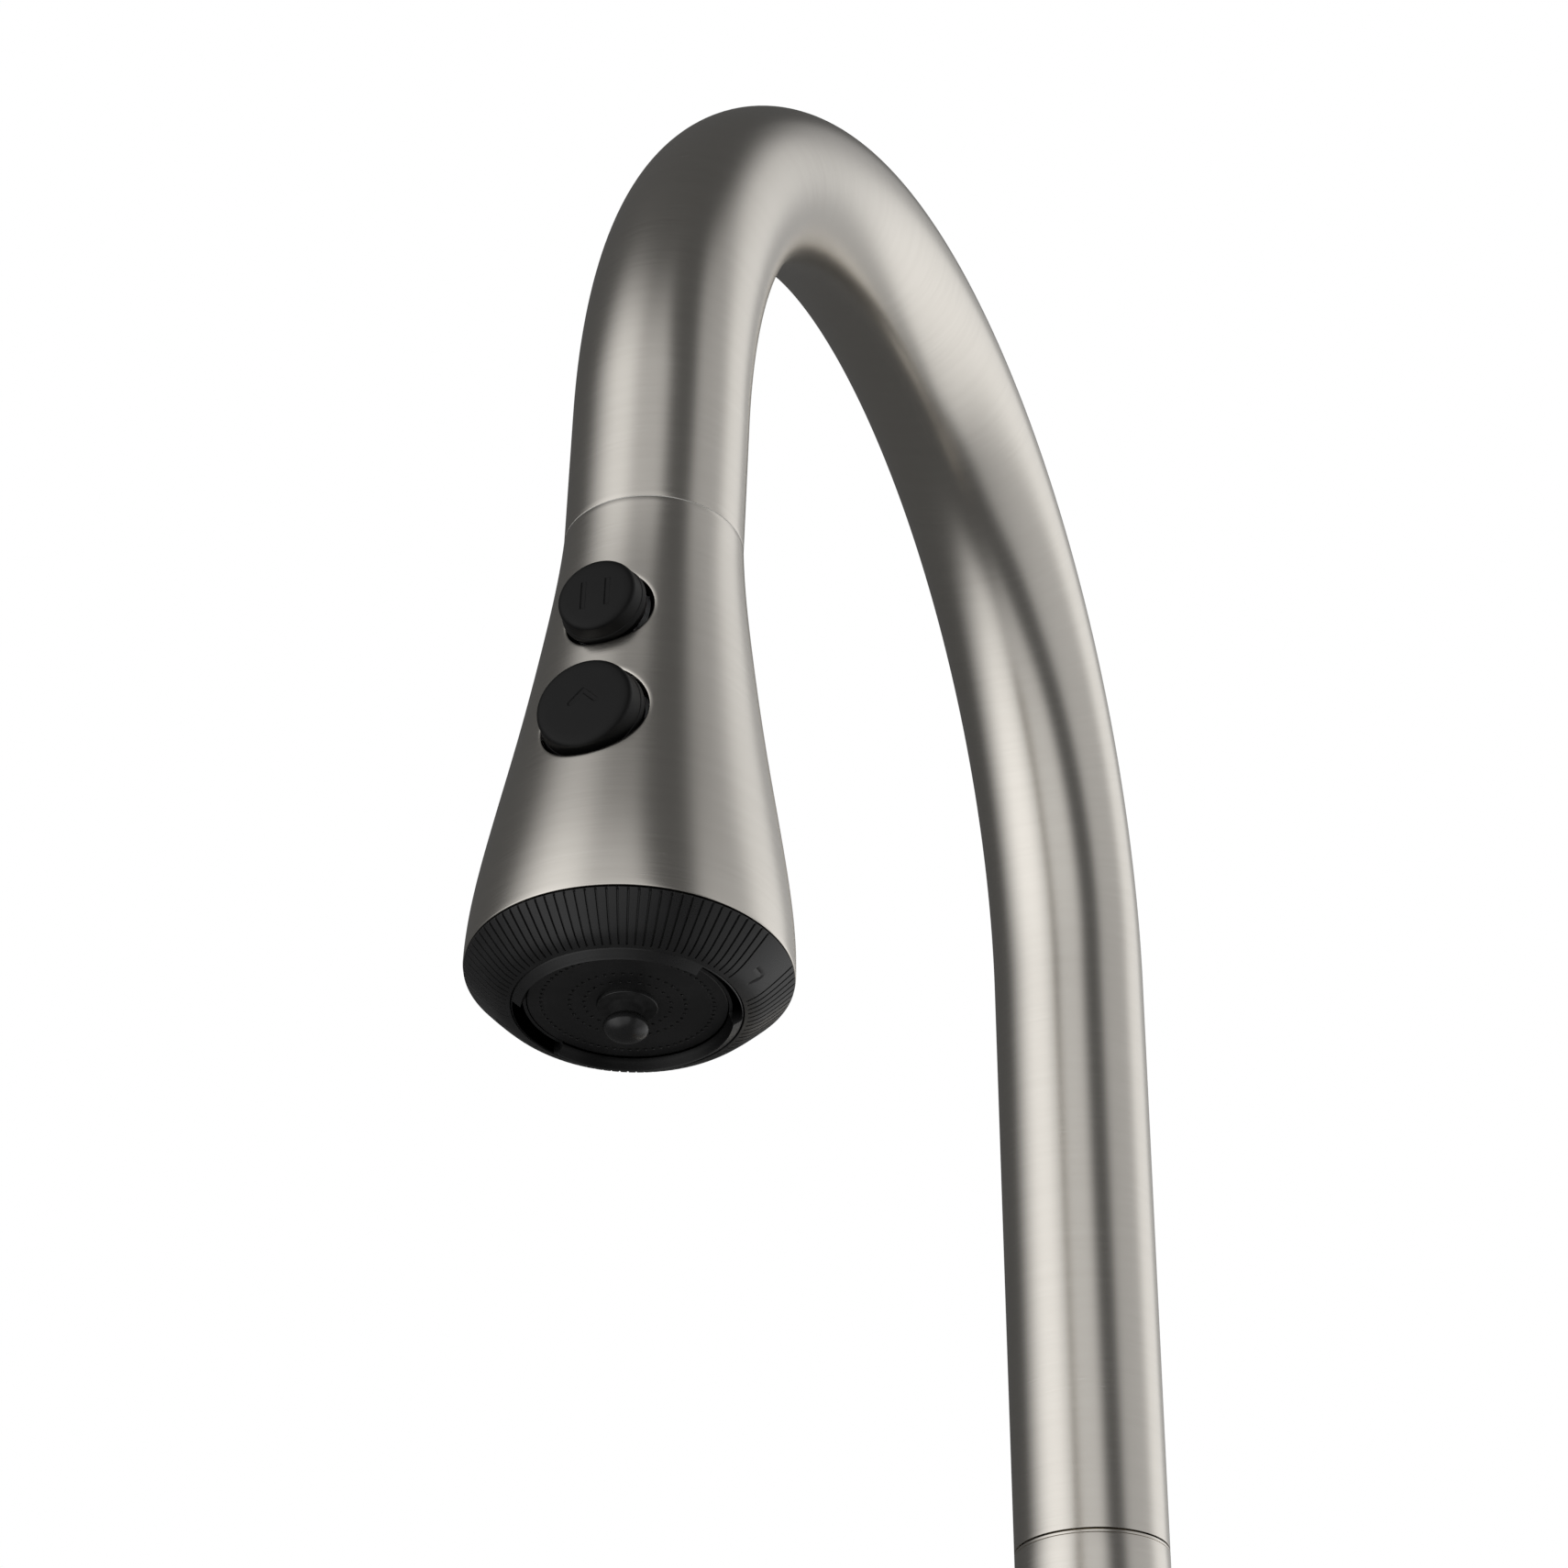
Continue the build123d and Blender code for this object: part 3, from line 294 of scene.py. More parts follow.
@dataclass(frozen=True)
class Route:
    """A centre line of straight runs and arcs in one plane, which starts in the direction of its axes.

    Each run is its length and the radius that it bends by: 0 is straight, and above 0 turns to the front.
    """

    axes: Axes
    runs: tuple[tuple[float, float], ...] = ()

    @property
    def length(self) -> float:
        """The length of all runs."""
        return sum(run[0] for run in self.runs)

    @staticmethod
    def step(place: Place, aim: float, radius: float, past: Array) -> tuple[Array, Array, Array]:
        """The place and heading at lengths past the start of a run, on an arc or straight on.

        Args:
            place: Where the run starts.
            aim: Its heading there, in radians.
            radius: The radius that it bends by, or 0.
            past: Lengths from its start.

        Returns:
            The places along and to the front, and the headings.
        """
        if not radius:
            return place[0] + past * math.cos(aim), place[1] + past * math.sin(aim), aim + 0.0 * past
        bent = aim + past / radius
        ahead = place[0] + radius * (np.sin(bent) - math.sin(aim))
        aside = place[1] - radius * (np.cos(bent) - math.cos(aim))
        return ahead, aside, bent

    def follow(self, distance: Array) -> tuple[Array, Array, Array]:
        """Walk the runs: on an arc the heading turns by length over radius.

        Args:
            distance: How far along the route each point is.

        Returns:
            The place along and to the front, and the heading in radians.
        """
        along, front, heading = distance.copy(), np.zeros_like(distance), np.zeros_like(distance)
        start, place, aim = 0.0, (0.0, 0.0), 0.0
        for length, radius in self.runs:
            here = distance >= start
            ahead, aside, bent = self.step(place, aim, radius, distance - start)
            along, front = np.where(here, ahead, along), np.where(here, aside, front)
            heading = np.where(here, bent, heading)
            ahead, aside, bent = self.step(place, aim, radius, np.array(length))
            place, aim = (float(ahead), float(aside)), float(bent)
            start += length
        return along, front, heading

    def carry(
        self, profile: Array, columns: int = 96, shape: Shape | None = None, angles: Array | None = None
    ) -> Sheet:
        """Carry a profile of radius over distance round and along the route.

        A point is the route's place at its distance, plus its radius times cos(a) across and sin(a) over, where
        over is square to the route and to across.

        Args:
            profile: Rows of radius and distance.
            columns: How many faces go round.
            shape: Changes the radius and distance of each point from its angle, radius and distance.
            angles: The columns' angles, where they aren't even.

        Returns:
            The surface.
        """
        angle = (np.linspace(0.0, 2.0 * np.pi, columns + 1) if angles is None else angles)[None, :]
        radius = np.repeat(profile[:, :1], angle.shape[1], axis=1)
        distance = np.repeat(profile[:, 1:], angle.shape[1], axis=1)
        if shape:
            radius, distance = shape(angle, radius, distance)
        along, front, heading = self.follow(distance)
        over = radius * np.sin(angle)
        points = np.stack(
            [radius * np.cos(angle), front + over * np.cos(heading), along - over * np.sin(heading)], axis=-1
        )
        turns = np.broadcast_to(angle / (2.0 * np.pi), radius.shape)
        metres = np.broadcast_to((walked(profile) * MM)[:, None], radius.shape)
        return Sheet(self.axes.place(points), turns, metres)


# Shader graphs


class Value:
    """A socket that takes part in a Python expression. Each operation on it adds one Math node."""

    def __init__(self, graph: "Graph", socket: bpy.types.NodeSocket) -> None:
        """Hold a socket of a graph."""
        self.graph = graph
        self.socket = socket

    def math(self, operation: str, *others: "Value | float") -> "Value":
        """This value, and others, through a Math node."""
        return self.graph.add("ShaderNodeMath", {"operation": operation}, dict(enumerate((self, *others))))

    def __add__(self, other: "Value | float") -> "Value":
        """Sum."""
        return self.math("ADD", other)

    __radd__ = __add__

    def __mul__(self, other: "Value | float") -> "Value":
        """Product."""
        return self.math("MULTIPLY", other)

    __rmul__ = __mul__

    def __sub__(self, other: "Value | float") -> "Value":
        """Difference."""
        return self.math("SUBTRACT", other)

    def __rsub__(self, other: float) -> "Value":
        """Difference from a number."""
        return self.graph.add("ShaderNodeMath", {"operation": "SUBTRACT"}, {0: other, 1: self})

    def __truediv__(self, other: "Value | float") -> "Value":
        """Quotient."""
        return self.math("DIVIDE", other)

    def __abs__(self) -> "Value":
        """Size without its sign."""
        return self.math("ABSOLUTE")

    def __mod__(self, other: float) -> "Value":
        """Remainder that is never negative."""
        return self.math("FLOORED_MODULO", other)

    def rise(self, low: float, high: float) -> "Value":
        """A smooth step from 0 at low to 1 at high.

        Args:
            low: Where the step starts.
            high: Where it ends.

        Returns:
            The step.
        """
        return self.graph.add(
            "ShaderNodeMapRange", {"interpolation_type": "SMOOTHSTEP"}, {0: self, 1: low, 2: high, 3: 0.0, 4: 1.0}
        )

    def other(self, name: str) -> "Value":
        """Another output of the same node."""
        return Value(self.graph, self.socket.node.outputs[name])


class Graph:
    """A node tree that is written as expressions."""

    def __init__(self, tree: bpy.types.NodeTree) -> None:
        """Start from an empty tree."""
        self.tree = tree
        tree.nodes.clear()

    def add(
        self,
        kind: str,
        settings: dict[str, Any] | None = None,
        sockets: dict[int | str, Any] | None = None,
        result: int | str = 0,
    ) -> Value:
        """Make a node.

        Args:
            kind: Blender's name for the node's type.
            settings: Properties that are set first, such as a Math node's operation.
            sockets: Values or links of the inputs, by index or name.
            result: The output to go on with.

        Returns:
            That output.
        """
        node = self.tree.nodes.new(kind)
        for name, setting in (settings or {}).items():
            setattr(node, name, setting)
        for key, value in (sockets or {}).items():
            if isinstance(value, Value):
                self.tree.links.new(value.socket, node.inputs[key])
            else:
                node.inputs[key].default_value = (*value, 1.0) if self.is_colour(node.inputs[key], value) else value
        return Value(self, node.outputs[result]) if node.outputs else Value(self, node.inputs[0])

    @staticmethod
    def is_colour(socket: bpy.types.NodeSocket, value: Any) -> bool:
        """Whether a colour of three numbers goes to a socket that wants four."""
        return socket.type == "RGBA" and isinstance(value, tuple) and len(value) == 3

    def vector(self, x: Value | float, y: Value | float, z: Value | float) -> Value:
        """Three numbers as a vector."""
        return self.add("ShaderNodeCombineXYZ", None, {0: x, 1: y, 2: z})

    def parts(self, vector: Value) -> tuple[Value, Value, Value]:
        """A vector as three numbers."""
        split = self.add("ShaderNodeSeparateXYZ", None, {0: vector})
        return split, split.other("Y"), split.other("Z")

    def mapped(self) -> tuple[Value, Value]:
        """The piece's own map: turns round its axis, and metres along it.

        Returns:
            The turns and the metres.
        """
        where = self.add("ShaderNodeUVMap", {"uv_map": "Surface"})
        turns, along, _ = self.parts(where)
        return turns, along

    def coordinates(self) -> Value:
        """Object coordinates, in metres."""
        return self.add("ShaderNodeTexCoord", None, None, "Object")

    def noise(self, where: Value, scale: float, detail: float = 2.0, rough: float = 0.5) -> Value:
        """Noise between 0 and 1.

        Args:
            where: The coordinates.
            scale: How many lumps there are to a unit.
            detail: How many finer layers it has.
            rough: How strong those are.

        Returns:
            The noise.
        """
        return self.add(
            "ShaderNodeTexNoise", None, {"Vector": where, "Scale": scale, "Detail": detail, "Roughness": rough}
        )

    def blend(self, share: Value | float, low: Colour | Value, high: Colour | Value) -> Value:
        """A colour between two others."""
        return self.add("ShaderNodeMix", {"data_type": "RGBA"}, {0: share, 6: low, 7: high}, 2)

    def bump(self, height: Value, distance: float, strength: float = 1.0) -> Value:
        """A normal that follows a height; the distance is in metres."""
        return self.add("ShaderNodeBump", None, {"Strength": strength, "Distance": distance, "Height": height})

    def shader(self, **sockets: Any) -> Value:
        """A surface shader, with underscores for the spaces in its sockets' names.

        Args:
            sockets: Values or links of its inputs.

        Returns:
            The shader.
        """
        return self.add(
            "ShaderNodeBsdfPrincipled", None, {name.replace("_", " "): value for name, value in sockets.items()}
        )

    def output(self, shader: Value) -> None:
        """Make a shader the material's surface."""
        self.add("ShaderNodeOutputMaterial", None, {"Surface": shader})

    def surface(self, **sockets: Any) -> None:
        """Make a surface shader and give it to the material."""
        self.output(self.shader(**sockets))


# Finishes


@dataclass(frozen=True)
class Finish(ABC):
    """A material that is made once and shared."""

    title: str

    def material(self) -> bpy.types.Material:
        """The Blender material of this finish.

        Returns:
            The material, which the first call makes.
        """
        found = bpy.data.materials.get(self.title)
        if found is None:
            found = bpy.data.materials.new(self.title)
            found.use_nodes = True
            self.dress(Graph(found.node_tree))
        return found

    @abstractmethod
    def dress(self, graph: Graph) -> None:
        """Write the finish into an empty graph."""


@dataclass(frozen=True)
class BrushedMetal(Finish):
    """Metal brushed round its axis: long fine scratches that change its tone, gloss and relief."""

    pale: Colour = (0.77, 0.735, 0.68)
    deep: Colour = (0.71, 0.675, 0.62)
    gloss: float = 0.25
    spread: float = 0.08
    relief: float = 0.000004
    scratches: float = 5200.0
    streaks: float = 620.0

    def dress(self, graph: Graph) -> None:
        """Noise on a ring, so that it closes on itself, drawn out round the axis and fine along it.

        Args:
            graph: The empty graph that it is written into.
        """
        turns, along = graph.mapped()
        angle = turns * (2.0 * math.pi)
        east, north = angle.math("COSINE"), angle.math("SINE")
        fine = graph.noise(graph.vector(east * 1.6, north * 1.6, along * self.scratches), 1.0, 3.0, 0.65)
        broad = graph.noise(graph.vector(east * 0.7, north * 0.7, along * self.streaks), 1.0, 2.0, 0.5)
        cloud = graph.noise(graph.coordinates(), 24.0, 2.0, 0.5)
        tone = fine * 0.55 + broad * 0.3 + cloud * 0.15
        share = (tone - 0.5) * 2.4 + 0.5
        rough = (fine - 0.5) * self.spread + (cloud - 0.5) * (self.spread * 0.5) + self.gloss
        graph.surface(
            Base_Color=graph.blend(share, self.deep, self.pale),
            Metallic=1.0,
            Roughness=rough,
            Normal=graph.bump(fine * 0.7 + broad * 0.3, self.relief),
        )


@dataclass(frozen=True)
class PlainMetal(Finish):
    """Turned or drawn metal with a cloudy tarnish and fine tool marks across an axis."""

    bright: Colour = (0.7, 0.7, 0.7)
    tarnish: Colour = (0.5, 0.5, 0.5)
    gloss: float = 0.3
    marks: Point = (400.0, 400.0, 3200.0)
    relief: float = 0.00001

    def dress(self, graph: Graph) -> None:
        """Tarnish from soft noise, tool marks from noise stretched square to the axis.

        Args:
            graph: The empty graph that it is written into.
        """
        where = graph.coordinates()
        cloud = graph.noise(where, 60.0, 4.0, 0.6)
        stretched = graph.add("ShaderNodeMapping", None, {"Vector": where, "Scale": self.marks})
        line = graph.noise(stretched, 1.0, 2.0, 0.5)
        graph.surface(
            Base_Color=graph.blend(cloud.rise(0.35, 0.7), self.bright, self.tarnish),
            Metallic=1.0,
            Roughness=(cloud - 0.5) * 0.22 + (line - 0.5) * 0.12 + self.gloss,
            Normal=graph.bump(line, self.relief),
        )


@dataclass(frozen=True)
class MouldedPlastic(Finish):
    """Moulded plastic with a fine spark-eroded grain and a faint polish where it is touched."""

    colour: Colour = (0.005, 0.005, 0.0051)
    worn: Colour = (0.009, 0.009, 0.0091)
    gloss: float = 0.46
    shine: float = 0.22
    grain: float = 0.000012
    grain_scale: float = 5200.0
    patch_scale: float = 140.0

    def plastic(self, graph: Graph) -> Value:
        """The shader: grain from fine noise, and broad patches that change colour and gloss a little.

        Args:
            graph: The graph that it is written into.

        Returns:
            The shader.
        """
        where = graph.coordinates()
        grain = graph.noise(where, self.grain_scale, 2.0, 0.6)
        patch = graph.noise(where, self.patch_scale, 3.0, 0.55)
        return graph.shader(
            Base_Color=graph.blend(patch.rise(0.4, 0.75) * 0.6 + grain * 0.25, self.colour, self.worn),
            Roughness=(patch - 0.5) * 0.16 + (grain - 0.5) * 0.1 + self.gloss,
            Specular_IOR_Level=self.shine,
            Normal=graph.bump(grain, self.grain),
        )

    def dress(self, graph: Graph) -> None:
        """The plastic alone."""
        graph.output(self.plastic(graph))


@dataclass(frozen=True)
class ShadePaintedPlastic(MouldedPlastic):
    """The same plastic with painted shade: dark stretches, by turns round the piece's axis and metres along it.

    The painted shade fills the opening between start and end, within half_turns of the two sides of the axis: 0.5 is
    all round. Beside it the plastic is painted half dark beyond the wall and painted dark beyond the gap, as shade
    falls there.
    """

    half_turns: float = 0.5
    start: float = 0.0
    end: float = 0.0
    # tone: colour of the painted shade that stands for the dark in slots and gaps
    tone: float = 0.0006
    wall: float = 1.0
    gap: float = 1.0
    fade: float = 0.0003
    soft: float = 0.00004
    soft_turns: float = 0.0008

    def dress(self, graph: Graph) -> None:
        """Mix painted shade, a dark matt tone, into the plastic by soft steps of the turns from the nearer side and of
        the metres.

        Args:
            graph: The empty graph that it is written into.
        """
        turns, along = graph.mapped()
        aside = abs((turns * 2.0 + 0.5) % 1.0 - 0.5) * 0.5
        beside = aside.rise(self.half_turns - self.soft_turns, self.half_turns + self.soft_turns)
        past_start, past_end, past_gap = (
            along.rise(edge - self.soft, edge + self.soft) for edge in (self.start, self.end, self.gap)
        )
        # painted shade: half dark on the far inner wall past the wall row, full dark past the gap
        shade = along.rise(self.wall, self.wall + self.fade) * 0.5 + past_gap * 0.5
        inside = past_start * (1.0 - past_end) * (1.0 - beside) + shade * beside
        speck = graph.noise(graph.coordinates(), 900.0, 2.0, 0.5)
        tone = graph.blend(speck, (self.tone * 0.6,) * 3, (self.tone * 1.4,) * 3)
        # the painted shade itself: a dark matt diffuse, mixed in by the mask above
        painted_shade_bsdf = graph.add("ShaderNodeBsdfDiffuse", None, {"Color": tone})
        graph.output(graph.add("ShaderNodeMixShader", None, {0: inside, 1: self.plastic(graph), 2: painted_shade_bsdf}))


@dataclass(frozen=True)
class SoftRubber(Finish):
    """Dull rubber with a dusty bloom."""

    colour: Colour = (0.022, 0.022, 0.023)
    bloom: Colour = (0.065, 0.065, 0.066)

    def dress(self, graph: Graph) -> None:
        """Bloom from cloudy noise over a grain.

        Args:
            graph: The empty graph that it is written into.
        """
        where = graph.coordinates()
        cloud = graph.noise(where, 90.0, 5.0, 0.65)
        grain = graph.noise(where, 2600.0, 2.0, 0.5)
        graph.surface(
            Base_Color=graph.blend(cloud.rise(0.4, 0.8), self.colour, self.bloom),
            Roughness=(cloud - 0.5) * 0.2 + 0.72,
            Normal=graph.bump(grain, 0.00002),
        )


@dataclass(frozen=True)
class BraidedNylon(Finish):
    """A hose sleeve of flat strands that cross over and under each other."""

    pattern: Pattern = Pattern.SURFACE
    dark: Colour = (0.10, 0.10, 0.105)
    light: Colour = (0.36, 0.36, 0.37)
    strands: float = 16.0
    pitch: float = 0.0046

    def dress(self, graph: Graph) -> None:
        """Two helices of strands: each strand is a cosine ridge, and a checker of the two says which lies on top.

        Args:
            graph: The empty graph that it is written into.
        """
        if self.pattern is Pattern.SURFACE:
            turns, along = graph.mapped()
        else:
            x, y, along = graph.parts(graph.coordinates())
            turns = x.math("ARCTAN2", y) / (2.0 * math.pi)
        round_axis, along_axis = turns * self.strands, along / self.pitch
        left, right = (
            (helix * math.pi).math("SINE") for helix in (round_axis + along_axis, round_axis - along_axis)
        )
        top = (left * right).rise(-0.15, 0.15)
        height = abs(left) * top + abs(right) * (1.0 - top)
        fray = graph.noise(graph.coordinates(), 1800.0, 2.0, 0.6)
        graph.surface(
            Base_Color=graph.blend(height.rise(0.15, 0.9) * 0.8 + fray * 0.2, self.dark, self.light),
            Roughness=(fray - 0.5) * 0.2 + 0.55,
            Normal=graph.bump(height + fray * 0.2, 0.0004, 0.8),
        )


@dataclass(frozen=True)
class IndexMark(Finish):
    """The handle's cap: grey enamel with a red dot on its hot side and a blue one on its cold side."""

    spread: float = 0.0016
    dot: float = 0.00075
    height: float = 0.062
    enamel: tuple[Colour, Colour] = ((0.36, 0.355, 0.34), (0.42, 0.415, 0.4))
    hot: Colour = (0.5, 0.03, 0.025)
    cold: Colour = (0.03, 0.09, 0.42)

    def dress(self, graph: Graph) -> None:
        """Two dots at either side of the middle, from the distance to their centres across the cap.

        Args:
            graph: The empty graph that it is written into.
        """
        where = graph.coordinates()
        _, across, up = graph.parts(where)
        level = up - self.height
        sides = (across - self.spread, across + self.spread)
        red, blue = (
            1.0 - (side * side + level * level).math("SQRT").rise(self.dot * 0.85, self.dot) for side in sides
        )
        speck = graph.noise(where, 3000.0, 2.0, 0.5)
        base = graph.blend(speck, *self.enamel)
        warm = graph.blend(red, base, self.hot)
        graph.surface(
            Base_Color=graph.blend(blue, warm, self.cold),
            Roughness=(speck - 0.5) * 0.1 + 0.3,
            Normal=graph.bump(speck, 0.000008),
        )


NICKEL = BrushedMetal("brushed_nickel")
BRASS = PlainMetal("turned_brass", (0.72, 0.56, 0.28), (0.5, 0.36, 0.16), 0.32)
COPPER = PlainMetal("drawn_copper", (0.74, 0.42, 0.28), (0.46, 0.24, 0.15), 0.34, (900.0, 900.0, 120.0))
STAINLESS = PlainMetal("bright_stainless", (0.64, 0.64, 0.645), (0.5, 0.5, 0.51), 0.28)
MAGNET = PlainMetal("plated_magnet", (0.45, 0.45, 0.46), (0.32, 0.32, 0.33), 0.36)
BLACK = MouldedPlastic("satin_black_plastic")
FACE_COLOURS = ((0.021, 0.021, 0.0214), (0.031, 0.031, 0.0315))
FACE_BLACK = MouldedPlastic("spray_face_plastic", *FACE_COLOURS, 0.37, 0.42)
RING_SHEEN = (0.3, 0.4)  # gloss and shine of the grooved ring
KNOB_SHEEN = (0.24, 0.45)  # gloss and shine of the knob
# painted shade: near-black matt plastic for the inner black nodes, so the guides seen in the gaps round the buttons
# stay dark as shade
SHADE_PAINTED_BLACK = MouldedPlastic("shade_painted_black_plastic", (0.001, 0.001, 0.001), (0.002, 0.002, 0.002), 0.75, 0.02)
# pale nylon for the seam liner: its pale colour gives the seam's bright hairline, in part a painted highlight
NYLON_SEAM_HIGHLIGHT = MouldedPlastic("pale_nylon_seam_highlight", (0.72, 0.71, 0.68), (0.8, 0.79, 0.76), 0.4, 0.5)
GREY = MouldedPlastic("grey_plastic", (0.33, 0.34, 0.35), (0.42, 0.43, 0.44), 0.5, 0.5)
RUBBER = SoftRubber("seal_rubber")
DRAWN_BRAID = BraidedNylon("drawn_hose_braid")
FIXED_BRAID = BraidedNylon("fixed_hose_braid", Pattern.UPRIGHT)
INDEX = IndexMark("hot_cold_mark")

SLOT_FINISH: dict[Slot, Finish] = {
    Slot.NICKEL: STAINLESS,
    Slot.BRASS: BRASS,
    Slot.COPPER: COPPER,
    Slot.STAINLESS: STAINLESS,
    # inner black nodes take the painted-shade black
    Slot.BLACK: SHADE_PAINTED_BLACK,
    Slot.GREY: GREY,
    Slot.MAGNET: MAGNET,
    Slot.RUBBER: RUBBER,
    Slot.BRAID: FIXED_BRAID,
}


# Pieces


class Skin:
    """One piece: sheets that are welded into one mesh, dressed, and set on a body."""

    def __init__(self, name: str, *sheets: Sheet) -> None:
        """Name the piece and give it its sheets."""
        self.name = name
        self.sheets = sheets

    def build(self) -> bpy.types.Object:
        """Weld the sheets' quads where they meet, turn their faces outwards and smooth them.

        Returns:
            The object, at the origin, with its place in its mesh.
        """
        places: list[Array] = []
        corners: list[NDArray[np.int64]] = []
        maps: list[Array] = []
        first = 0
        for sheet in self.sheets:
            rows, columns = sheet.turns.shape
            index = np.arange(rows * columns).reshape(rows, columns)
            quads = np.stack([index[:-1, :-1], index[:-1, 1:], index[1:, 1:], index[1:, :-1]], axis=-1)
            quads = quads.reshape(-1, 4) if sheet.kept is None else quads[sheet.kept]
            surface = np.stack([sheet.turns.ravel(), sheet.along.ravel()], axis=-1)
            places.append(sheet.points.reshape(-1, 3))
            corners.append(quads + first)
            maps.append(surface[quads.ravel()])
            first += rows * columns
        points, faces, coordinates = np.concatenate(places), np.concatenate(corners), np.concatenate(maps)
        mesh = bpy.data.meshes.new(self.name)
        mesh.vertices.add(len(points))
        mesh.vertices.foreach_set("co", points.astype(np.float32).ravel())
        mesh.loops.add(faces.size)
        mesh.loops.foreach_set("vertex_index", faces.astype(np.int32).ravel())
        mesh.polygons.add(len(faces))
        mesh.polygons.foreach_set("loop_start", np.arange(0, faces.size, 4, dtype=np.int32))
        mesh.update(calc_edges=True)
        layer = mesh.uv_layers.new(name="Surface")
        layer.data.foreach_set("uv", coordinates.astype(np.float32).ravel())
        welder = bmesh.new()
        welder.from_mesh(mesh)
        bmesh.ops.remove_doubles(welder, verts=welder.verts, dist=WELD)
        bmesh.ops.recalc_face_normals(welder, faces=welder.faces)
        welder.to_mesh(mesh)
        welder.free()
        mesh.polygons.foreach_set("use_smooth", np.ones(len(mesh.polygons), dtype=bool))
        mesh.set_sharp_from_angle(angle=math.radians(SHARP))
        piece = bpy.data.objects.new(self.name, mesh)
        bpy.context.scene.collection.objects.link(piece)
        return piece

    def fit(self, finish: Finish, slot: Slot, body: Body, *nodes: str) -> bpy.types.Object:
        """Build the piece, dress it, set it on a body and let it stand for CAD nodes.

        Args:
            finish: What it is dressed in.
            slot: The record's slot for that finish; not used.
            body: The body that carries it.
            nodes: The nodes that it stands for.

        Returns:
            The finished piece.
        """
        piece = self.build()
        piece.data.materials.append(finish.material())
        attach(piece, body.value)
        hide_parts(*nodes)
        log.info("%s: %d faces, %s, on %s", self.name, len(piece.data.polygons), finish.title, body.value)
        return piece


def turned(
    axes: Axes, profile: Array, columns: int = 96, shape: Shape | None = None, angles: Array | None = None
) -> Sheet:
    """A profile turned round the straight axis of a place."""
    return Route(axes).carry(profile, columns, shape, angles)


def ring(inner: float, outer: float, low: float, high: float, edge: float) -> Array:
    """The closed profile of a ring with rounded edges."""
    return rounded([(inner, low, edge), (outer, low, edge), (outer, high, edge), (inner, high, edge)], closed=True)


UPRIGHT = Axes((0.0, 0.0, 0.0), (1.0, 0.0, 0.0), (0.0, 1.0, 0.0), (0.0, 0.0, 1.0))


@dataclass(frozen=True)
class Spout:
    """The gooseneck tube and the thin ring that it turns on."""

    radius: float = 14.0
    wall: float = 1.2
    seam: float = 170.0
    riser: float = 111.8
    bend: float = 100.8
    sweep: float = 172.86
    outlet: float = 25.4
    edge: float = 0.06
    gap: float = 0.35
    spacer: float = 0.8
    post: float = 11.1

    @property
    def route(self) -> Route:
        """Up the riser, over towards -Y, and down the outlet."""
        runs = ((self.riser, 0.0), (self.bend * math.radians(self.sweep), -self.bend), (self.outlet, 0.0))
        return Route(UPRIGHT.moved(along=self.seam), runs)

    @property
    def mouth(self) -> Axes:
        """Axes at the end of the tube: across on +X, the front away from the body, along out of the tube.

        Returns:
            The axes.
        """
        end = math.radians(self.sweep)
        reach = -self.bend * (1.0 - math.cos(end)) - self.outlet * math.sin(end)
        rise = self.seam + self.riser + self.bend * math.sin(end) + self.outlet * math.cos(end)
        return Axes(
            (0.0, reach, rise),
            (1.0, 0.0, 0.0),
            (0.0, math.cos(end), math.sin(end)),
            (0.0, -math.sin(end), math.cos(end)),
        )

    def build(self) -> None:
        """A tube with rounded ends carried along the route, and the ring under it."""
        profile = ring(self.radius - self.wall, self.radius, 0.0, self.route.length, self.edge)
        tube = self.route.carry(refined(profile, 2.0), 128)
        Skin("gooseneck", tube).fit(NICKEL, Slot.NICKEL, Body.SPOUT, "spout_tube")
        washer = ring(self.post, self.radius, self.seam - self.spacer, self.seam - self.gap, self.edge)
        Skin("swivel_ring", turned(UPRIGHT, washer, 128)).fit(NICKEL, Slot.NICKEL, Body.BASE, "spacer_ring")


